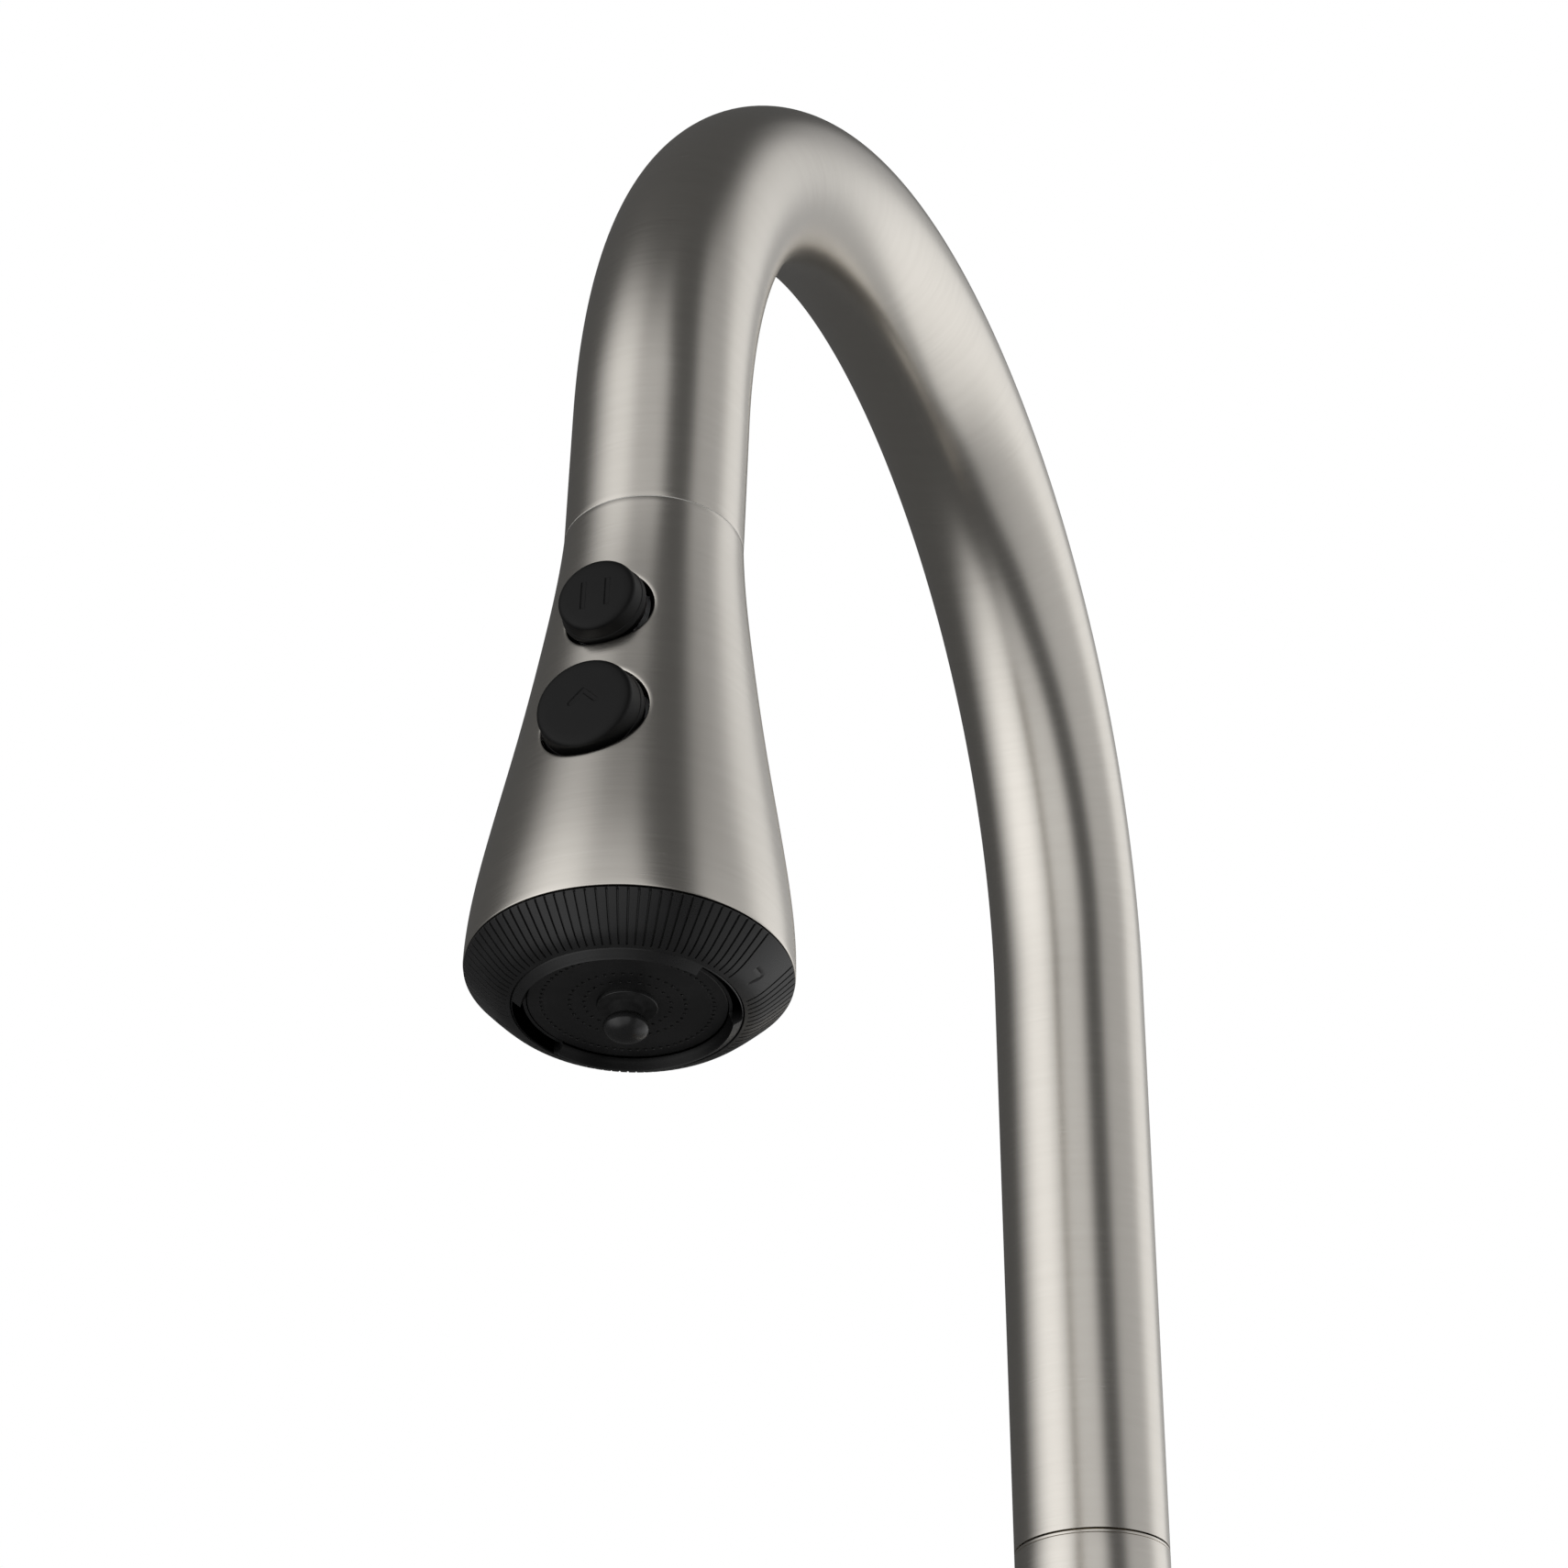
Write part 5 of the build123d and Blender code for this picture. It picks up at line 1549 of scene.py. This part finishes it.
@dataclass(frozen=True)
class Handle:
    """The dome on the valve, the ball-shaped hub over it, the lever and the hot and cold mark."""

    pivot: Point = (44.0, 0.0, 62.0)
    dome: float = 17.3
    dome_wall: float = 1.5
    dome_opening: float = 39.0
    hub_inner: float = 17.9
    hub: float = 21.2
    spread: float = 62.0
    hub_edge: float = 0.5
    skirt_turn: float = 2.0
    cap: float = 3.6
    cap_gap: float = 0.12
    cap_depth: float = 1.6
    cap_crown: float = 0.1
    lever_foot: Point = (13.0, 0.0, 12.0)
    lean: float = 4.0
    lever: float = 72.0
    lever_base: float = 5.2
    lever_tip: float = 3.6
    lever_start: float = 2.0
    flare: float = 1.5
    flare_start: float = 6.0
    flare_fade: float = 1.6
    flare_end: float = 20.0

    @property
    def axes(self) -> Axes:
        """Axes at the pivot, along the valve."""
        return Axes(self.pivot, (0.0, 1.0, 0.0), (0.0, 0.0, 1.0), (1.0, 0.0, 0.0))

    @staticmethod
    def on_ball(radius: float, angle: float, edge: float) -> Point:
        """A corner on a circle round the pivot, by its angle in degrees from the valve's axis, and its rounding."""
        place = arc((0.0, 0.0), radius, angle, angle, 0)[0]
        return (float(place[0]), float(place[1]), edge)

    def build_dome(self) -> None:
        """The part of a hollow ball that covers the valve."""
        inner = self.dome - self.dome_wall
        dome = np.vstack(
            [
                arc((0.0, 0.0), self.dome, 90.0, self.dome_opening, 24),
                arc((0.0, 0.0), inner, self.dome_opening, 90.0, 24),
                [[self.dome, 0.0]],
            ]
        )
        Skin("valve_dome", turned(self.axes, dome, 112)).fit(NICKEL, Slot.NICKEL, Body.BASE, "dome_cap")

    def build_hub(self) -> None:
        """The hollow ball that turns on the dome, with a well for the hot and cold mark, and the mark itself."""
        well_floor, well_radius = self.hub - self.cap_depth, self.cap + self.cap_gap
        shoulder = self.spread - 3 * math.degrees(self.hub_edge / self.hub)
        seat = math.degrees(math.asin(well_radius / self.hub))
        skirt = rounded(
            [
                self.on_ball(self.hub_inner, self.spread - self.skirt_turn, 0.0),
                self.on_ball(self.hub_inner, self.spread, 0.3),
                self.on_ball(self.hub, self.spread, self.hub_edge),
                self.on_ball(self.hub, shoulder, 0.0),
            ]
        )
        ball = arc((0.0, 0.0), self.hub, shoulder, seat, 40)
        well = np.array([(well_radius, well_floor), (0.0, well_floor), (0.0, self.hub_inner)])
        lining = arc((0.0, 0.0), self.hub_inner, 0.0, self.spread - self.skirt_turn, 24)
        profile = np.vstack([skirt, ball[1:], well, lining[1:]])
        Skin("handle_ball", turned(self.axes, profile, 128)).fit(NICKEL, Slot.NICKEL, Body.HANDLE, "handle_hub")
        plate = rounded(
            [
                (0.0, well_floor, 0.0),
                (self.cap, well_floor, 0.0),
                (self.cap, self.hub - self.cap_crown, 0.4),
                (0.0, self.hub, 0.0),
            ]
        )
        Skin("index_plate", turned(self.axes, plate, 64)).fit(INDEX, Slot.GREY, Body.HANDLE, "index_cap")

    def build_lever(self) -> None:
        """The tapered lever with a round tip, flared by exp(-d) where it leaves the hub."""
        lean = math.radians(self.lean)
        foot = Axes(
            tuple(np.array(self.pivot) + np.array(self.lever_foot)),
            (0.0, 1.0, 0.0),
            (-math.cos(lean), 0.0, math.sin(lean)),
            (math.sin(lean), 0.0, math.cos(lean)),
        )
        shoulder = self.lever - self.lever_tip
        along = np.linspace(self.lever_start, shoulder, 60)
        taper = self.lever_base + (self.lever_tip - self.lever_base) * along / shoulder
        flare = self.flare * np.exp(-np.maximum(along - self.flare_start, 0.0) / self.flare_fade)
        shaft = np.stack([taper + flare * (along < self.flare_end), along], axis=1)
        tip = arc((0.0, shoulder), self.lever_tip, 90.0, 0.0, 16)[1:]
        profile = np.vstack([[[0.0, self.lever_start]], shaft, tip])
        Skin("lever_bar", turned(foot, profile, 72)).fit(NICKEL, Slot.NICKEL, Body.HANDLE, "lever")

    def build(self) -> None:
        """Make the dome, the hub with its mark, and the lever."""
        self.build_dome()
        self.build_hub()
        self.build_lever()


@dataclass(frozen=True)
class DeckFixing:
    """What clamps the faucet to the worktop: the threaded shank, two washers and the nut."""

    shank: float = 16.5
    bore: float = 14.2
    drop: float = -60.0
    flange: float = 21.9
    pitch: float = 1.5
    thread: float = 0.55
    nut_flats: float = 44.0
    nut_low: float = -46.0
    nut_high: float = -34.0
    nut_rim: Place = (1.0, 0.8)
    chamfer: Place = (0.6, 2.0)
    run_in: Place = (0.5, 2.0)
    hole: float = 16.6
    flange_low: float = 6.0
    flange_high: float = 11.8
    worktop: float = -30.0
    rubber: float = 27.0
    rubber_low: float = -32.0
    steel: float = 26.0

    def cut_thread(self, angle: Array, radius: Array, distance: Array) -> tuple[Array, Array]:
        """Sink a rounded thread into the shank, which runs out at both ends.

        Args:
            angle: Angle of each column.
            radius: Radius of each point.
            distance: Distance of each point along the axis.

        Returns:
            The new radius and distance.
        """
        start, full = self.run_in
        threaded = (np.abs(radius - self.shank) < NEAR) * smooth(distance, self.drop + start, self.drop + full)
        threaded = threaded * (1.0 - smooth(distance, -full, -start))
        return radius - self.thread * thread_share(angle, distance, self.pitch) * threaded, distance

    def hexagon(self, angle: Array, radius: Array, distance: Array) -> tuple[Array, Array]:
        """Draw the outer rows out to a hexagon, under a chamfer cone at both ends.

        Args:
            angle: Angle of each column.
            radius: Radius of each point.
            distance: Distance of each point along the axis.

        Returns:
            The new radius and distance.
        """
        flats = self.nut_flats / 2.0
        end = np.minimum(distance - self.nut_low, self.nut_high - distance)
        limit = flats + self.chamfer[0] + self.chamfer[1] * end
        hexed = np.minimum(hexagon_radius(angle, self.nut_flats), limit)
        return np.where(radius > flats - self.nut_rim[1], hexed, radius), distance

    def build(self) -> None:
        """Make the shank, the washers and the nut."""
        profile = rounded(
            [
                (self.bore, self.drop, 0.0),
                (self.shank, self.drop, 0.0),
                (self.shank, self.flange_low, 0.0),
                (self.flange, self.flange_low, 0.3),
                (self.flange, self.flange_high, 0.3),
                (self.bore, self.flange_high, 0.0),
            ],
            closed=True,
        )
        Skin("threaded_shank", turned(UPRIGHT, refined(profile, 0.16), 72, self.cut_thread)).fit(
            BRASS, Slot.BRASS, Body.BASE, "shank"
        )
        soft = ring(self.hole, self.rubber, self.rubber_low, self.worktop, 0.4)
        Skin("worktop_washer", turned(UPRIGHT, soft, 96)).fit(RUBBER, Slot.RUBBER, Body.BASE, "rubber_washer")
        steel = ring(self.hole, self.steel, self.nut_high, self.rubber_low, 0.3)
        Skin("steel_washer", turned(UPRIGHT, steel, 96)).fit(STAINLESS, Slot.STAINLESS, Body.BASE, "deck_washer")
        flats, rim = self.nut_flats / 2.0, self.nut_flats / 2.0 - self.nut_rim[0]
        section = rounded(
            [
                (self.hole, self.nut_low, 0.3),
                (rim, self.nut_low, 0.0),
                (flats, self.nut_low, 0.0),
                (flats, self.nut_high, 0.0),
                (rim, self.nut_high, 0.0),
                (self.hole, self.nut_high, 0.3),
            ],
            closed=True,
        )
        Skin("deck_nut", turned(UPRIGHT, refined(section, 0.5), 240, self.hexagon)).fit(
            BRASS, Slot.BRASS, Body.BASE, "mounting_nut"
        )


@dataclass(frozen=True)
class WaterTube:
    """A copper tube from the valve down through the shank, with its threaded end fitting."""

    name: str
    bearing: float
    circle: float = 10.4
    radius: float = 3.2
    bore: float = 2.2
    top: float = 56.0
    straight: float = 120.0
    bend: float = 20.0
    turn: float = 40.0
    slant: float = 10.0
    tail: float = 8.0
    thread: float = 7.1
    grip_flats: float = 17.0
    grip: float = 6.0
    screw: float = 12.0
    pitch: float = 1.2
    thread_depth: float = 0.4
    run_in: Place = (0.6, 1.4)
    run_out: float = 1.2
    tip: float = 0.9
    grip_rim: float = 1.0
    chamfer: Place = (0.35, 1.7)
    slip: float = 0.1

    @property
    def route(self) -> Route:
        """Down, out by an arc, along a slant and back by the same arc.

        Returns:
            The route.
        """
        way = math.radians(self.bearing)
        outwards = (math.cos(way), math.sin(way), 0.0)
        axes = Axes(
            (self.circle * outwards[0], self.circle * outwards[1], self.top),
            (-outwards[1], outwards[0], 0.0),
            outwards,
            (0.0, 0.0, -1.0),
        )
        swing = self.bend * math.radians(self.turn)
        return Route(
            axes, ((self.straight, 0.0), (swing, self.bend), (self.slant, 0.0), (swing, -self.bend), (self.tail, 0.0))
        )

    def cut(self, angle: Array, radius: Array, distance: Array) -> tuple[Array, Array]:
        """Draw the grip out to a hexagon and sink a thread into the rest, as on the deck nut and the shank.

        Args:
            angle: Angle of each column.
            radius: Radius of each point.
            distance: Distance of each point along the axis.

        Returns:
            The new radius and distance.
        """
        end = np.minimum(distance + self.grip, -distance)
        limit = self.grip_flats / 2.0 + self.chamfer[0] + self.chamfer[1] * end
        hexed = np.minimum(hexagon_radius(angle, self.grip_flats), limit)
        threaded = (np.abs(radius - self.thread) < NEAR) * smooth(distance, *self.run_in)
        threaded = threaded * (1.0 - smooth(distance, self.screw - self.run_out, self.screw - self.tip))
        groove = self.thread_depth * thread_share(angle, distance, self.pitch) * threaded
        return np.where(radius > self.thread + self.grip_rim, hexed, radius - groove), distance

    def build(self) -> None:
        """Carry the tube along its route, and turn the fitting round its end."""
        route = self.route
        tube = route.carry(refined(ring(self.bore, self.radius, 0.0, route.length, 0.15), 1.5), 32)
        Skin(self.name + "_pipe", tube).fit(COPPER, Slot.COPPER, Body.BASE, self.name + "_tube")
        along, front, _ = route.follow(np.array([route.length]))
        end = route.axes.moved(front=float(front[0]), along=float(along[0]))
        flats, sleeve = self.grip_flats / 2.0, self.radius + self.slip
        profile = rounded(
            [
                (sleeve, -self.grip, 0.0),
                (flats, -self.grip, 0.0),
                (flats, 0.0, 0.0),
                (self.thread, 0.0, 0.0),
                (self.thread, self.screw - self.tip, 0.0),
                (self.thread - self.tip, self.screw, 0.0),
                (self.bore, self.screw, 0.2),
                (self.bore, 0.0, 0.0),
                (sleeve, 0.0, 0.0),
            ],
            closed=True,
        )
        nut = turned(end, refined(profile, 0.16), 96, self.cut)
        Skin(self.name + "_connector", nut).fit(BRASS, Slot.BRASS, Body.BASE, self.name + "_fitting")


@dataclass(frozen=True)
class DrawnHose:
    """The braided hose between the spout and the head, which shows when the head is drawn out."""

    axes: Axes
    radius: float = 6.0
    start: float = -39.8
    end: float = -36.2
    drawn: float = 450.0
    rows: int = 420

    def build(self) -> None:
        """A tube with rows at the t where w = 3t^2 - 2t^3 is i over the count, t = 1/2 - sin(asin(1 - 2w) / 3).

        Its map gives the drawn length.
        """
        share = np.linspace(0.0, 1.0, self.rows + 1)
        place = 0.5 - np.sin(np.arcsin(1.0 - 2.0 * share) / 3.0)
        profile = np.stack([np.full(self.rows + 1, self.radius), self.start + (self.end - self.start) * place], axis=1)
        sheet = turned(self.axes, profile, 48)
        sheet.along = np.broadcast_to((share * self.drawn * MM)[:, None], sheet.turns.shape)
        hose = self.weave(sheet)
        ends = self.axes.place(np.array([(0.0, 0.0, self.start), (0.0, 0.0, self.end)]))
        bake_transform(hose)

    def weave(self, sheet: Sheet) -> bpy.types.Object:
        """The dressed tube, which rides on no single body. Its rows stay further apart than the weld reaches.

        Args:
            sheet: The tube's surface.

        Returns:
            The hose.
        """
        hose = Skin("drawn_hose", sheet).build()
        hose.data.materials.append(DRAWN_BRAID.material())
        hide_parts("hose_tail")
        log.info("drawn_hose: %d faces, blended from the spout to the head", len(hose.data.polygons))
        return hose


@dataclass(frozen=True)
class InnerWorks:
    """The CAD nodes that stay as they are and take a procedural finish."""

    def dress(self) -> None:
        """Give each node that still shows the finish of its slot."""
        slots = {row["node"]: Slot(row["material_slot"]) for row in frame["record"]["subparts"]}
        for name, node in sorted(frame["nodes"].items()):
            if node.hide_render:
                continue
            finish = SLOT_FINISH[slots[name]]
            node.data.materials.clear()
            node.data.materials.append(finish.material())
            log.info("%s: %s", name, finish.title)


# Studio


@dataclass(frozen=True)
class Panel:
    """A tall soft panel of the studio, by the bearing that it covers: 0 is the front and 90 the lever's side."""

    start: float
    end: float
    strength: float
    rise: float
    fall: float
    lean: Place = (0.0, 0.0)


@dataclass(frozen=True)
class Studio:
    """Soft panels round the object, a white backdrop, and a pale floor."""

    panels: tuple[Panel, ...] = (
        Panel(-65.0, -14.0, 1.09, 26.0, 12.0, (0.15, 0.0)),
        Panel(-14.0, 40.0, 0.63, 12.0, 9.0, (0.0, -0.35)),
        Panel(69.5, 121.0, 0.44, 8.0, 12.0, (0.35, 0.0)),
        Panel(121.0, 160.5, 0.95, 12.0, 7.0, (0.0, -0.1)),
        Panel(160.5, 186.0, 0.36, 7.0, 5.0, (0.0, -0.4)),
    )
    gloom: float = 0.08
    drop: float = 2.5
    droop: float = 0.34
    reach: float = 52.0
    end: float = 73.0
    corner: float = 30.0
    seam: float = -135.0
    floor: float = -0.28
    floor_half: float = 6.0
    floor_tones: tuple[Colour, Colour] = ((0.8, 0.8, 0.8), (0.84, 0.84, 0.84))
    floor_glow: float = 0.66
    floor_share: float = 0.9

    def light(self) -> None:
        """The world: white to the camera, and to everything else panels by bearing that fade with elevation."""
        world = bpy.data.worlds.new("studio")
        bpy.context.scene.world = world
        world.use_nodes = True
        graph = Graph(world.node_tree)
        x, y, z = graph.parts(graph.add("ShaderNodeTexCoord", None, None, "Generated"))
        bearing = x.math("ARCTAN2", y * -1.0) * DEGREES
        turned_bearing = (bearing - self.seam) % 360.0
        level = abs(z.math("ARCSINE") * DEGREES + self.drop)
        past = (level - self.corner).math("MAXIMUM", 0.0)
        glow: Value | float = 0.0
        for panel in self.panels:
            start, end = panel.start - self.seam, panel.end - self.seam
            inside = (turned_bearing - past * panel.lean[0]).rise(start - panel.rise, start + panel.rise)
            outside = (turned_bearing - past * panel.lean[1]).rise(end - panel.fall, end + panel.fall)
            glow = inside * (1.0 - outside) * panel.strength + glow
        share = level / self.reach
        band = (1.0 - share * share * self.droop) * (1.0 - level.rise(self.reach, self.end))
        strength = glow * band + self.gloom
        seen = graph.add("ShaderNodeLightPath", None, None, "Is Camera Ray")
        shown = strength * (1.0 - seen) + seen
        background = graph.add("ShaderNodeBackground", None, {"Color": (1.0, 1.0, 1.0), "Strength": shown})
        graph.add("ShaderNodeOutputWorld", None, {"Surface": background})

    def lay_floor(self) -> None:
        """A wide pale floor that takes the shadow, and stays out of the metal's reflections."""
        span = np.linspace(-self.floor_half, self.floor_half, 25)
        x, y = np.meshgrid(span, span, indexing="xy")
        points = np.stack([x, y, np.full_like(x, self.floor)], axis=-1)
        floor = Skin("studio_floor", Sheet(points, x, y)).build()
        material = bpy.data.materials.new("pale_floor")
        material.use_nodes = True
        graph = Graph(material.node_tree)
        speck = graph.noise(graph.coordinates(), 40.0, 3.0, 0.5)
        matt = graph.add("ShaderNodeBsdfDiffuse", None, {"Color": graph.blend(speck, *self.floor_tones)})
        glow = graph.add("ShaderNodeEmission", None, {"Color": (1.0, 1.0, 1.0), "Strength": self.floor_glow})
        seen = graph.add("ShaderNodeLightPath", None, None, "Is Camera Ray")
        lit = graph.add("ShaderNodeMixShader", None, {0: seen * self.floor_share, 1: matt, 2: glow})
        total = graph.add("ShaderNodeAddShader", None, {0: matt, 1: lit})
        graph.add("ShaderNodeOutputMaterial", None, {"Surface": total})
        floor.data.materials.append(material)
        floor.visible_glossy = False
        floor.visible_diffuse = False


@dataclass(frozen=True)
class View:
    """The camera: where it stands round its target, its roll and its lens."""

    azimuth: float = 20.98
    elevation: float = -27.307
    roll: float = -0.817
    distance: float = 1013.39
    target_across: float = -53.289
    target_height: float = 325.997
    lens: float = 120.59
    sensor: float = 36.0
    clip: Place = (0.01, 60.0)

    def stand(self) -> None:
        """Set the camera back from its target along the view and turn it by its roll."""
        turn, tilt, roll = (math.radians(angle) for angle in (self.azimuth, self.elevation, self.roll))
        back = np.array([math.sin(turn) * math.cos(tilt), -math.cos(turn) * math.cos(tilt), math.sin(tilt)])
        level = np.array([math.cos(turn), math.sin(turn), 0.0])
        upward = np.cross(back, level)
        right = math.cos(roll) * level + math.sin(roll) * upward
        over = math.cos(roll) * upward - math.sin(roll) * level
        target = np.array([self.target_across * level[0], self.target_across * level[1], self.target_height])
        data = bpy.data.cameras.new("photo_view")
        data.lens, data.sensor_width = self.lens, self.sensor
        data.clip_start, data.clip_end = self.clip
        camera = bpy.data.objects.new("photo_view", data)
        place = np.eye(4)
        place[:3, :3] = np.stack([right, over, back], axis=1)
        place[:3, 3] = (target + back * self.distance) * MM
        camera.matrix_world = Matrix(place.tolist())
        bpy.context.scene.collection.objects.link(camera)
        bpy.context.scene.camera = camera


def main() -> None:
    """Build the faucet, dress it, and set up the studio and the camera."""
    logging.basicConfig(level=logging.INFO, format="%(name)s: %(message)s")
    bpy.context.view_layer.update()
    bpy.context.scene.view_settings.view_transform = "Standard"
    View().stand()
    studio = Studio()
    studio.light()
    studio.lay_floor()
    spout = Spout()
    spout.build()
    mouth = spout.mouth
    SprayHead(mouth).build()
    PushButton("pause", Symbol.BARS, Body.PAUSE, mouth, place=22.5, radius=6.3, back=15.5, face=20.4).build()
    PushButton("flow", Symbol.CHEVRON, Body.FLOW, mouth, place=43.6, radius=7.7, back=16.8, face=22.3).build()
    SprayFace(mouth).build()
    FaucetBody().build()
    Handle().build()
    DeckFixing().build()
    for name, bearing in (("outlet", 0.0), ("hot", 60.0), ("cold", -60.0)):
        WaterTube(name, bearing).build()
    DrawnHose(mouth).build()
    InnerWorks().dress()


if __name__ == "__main__":
    main()
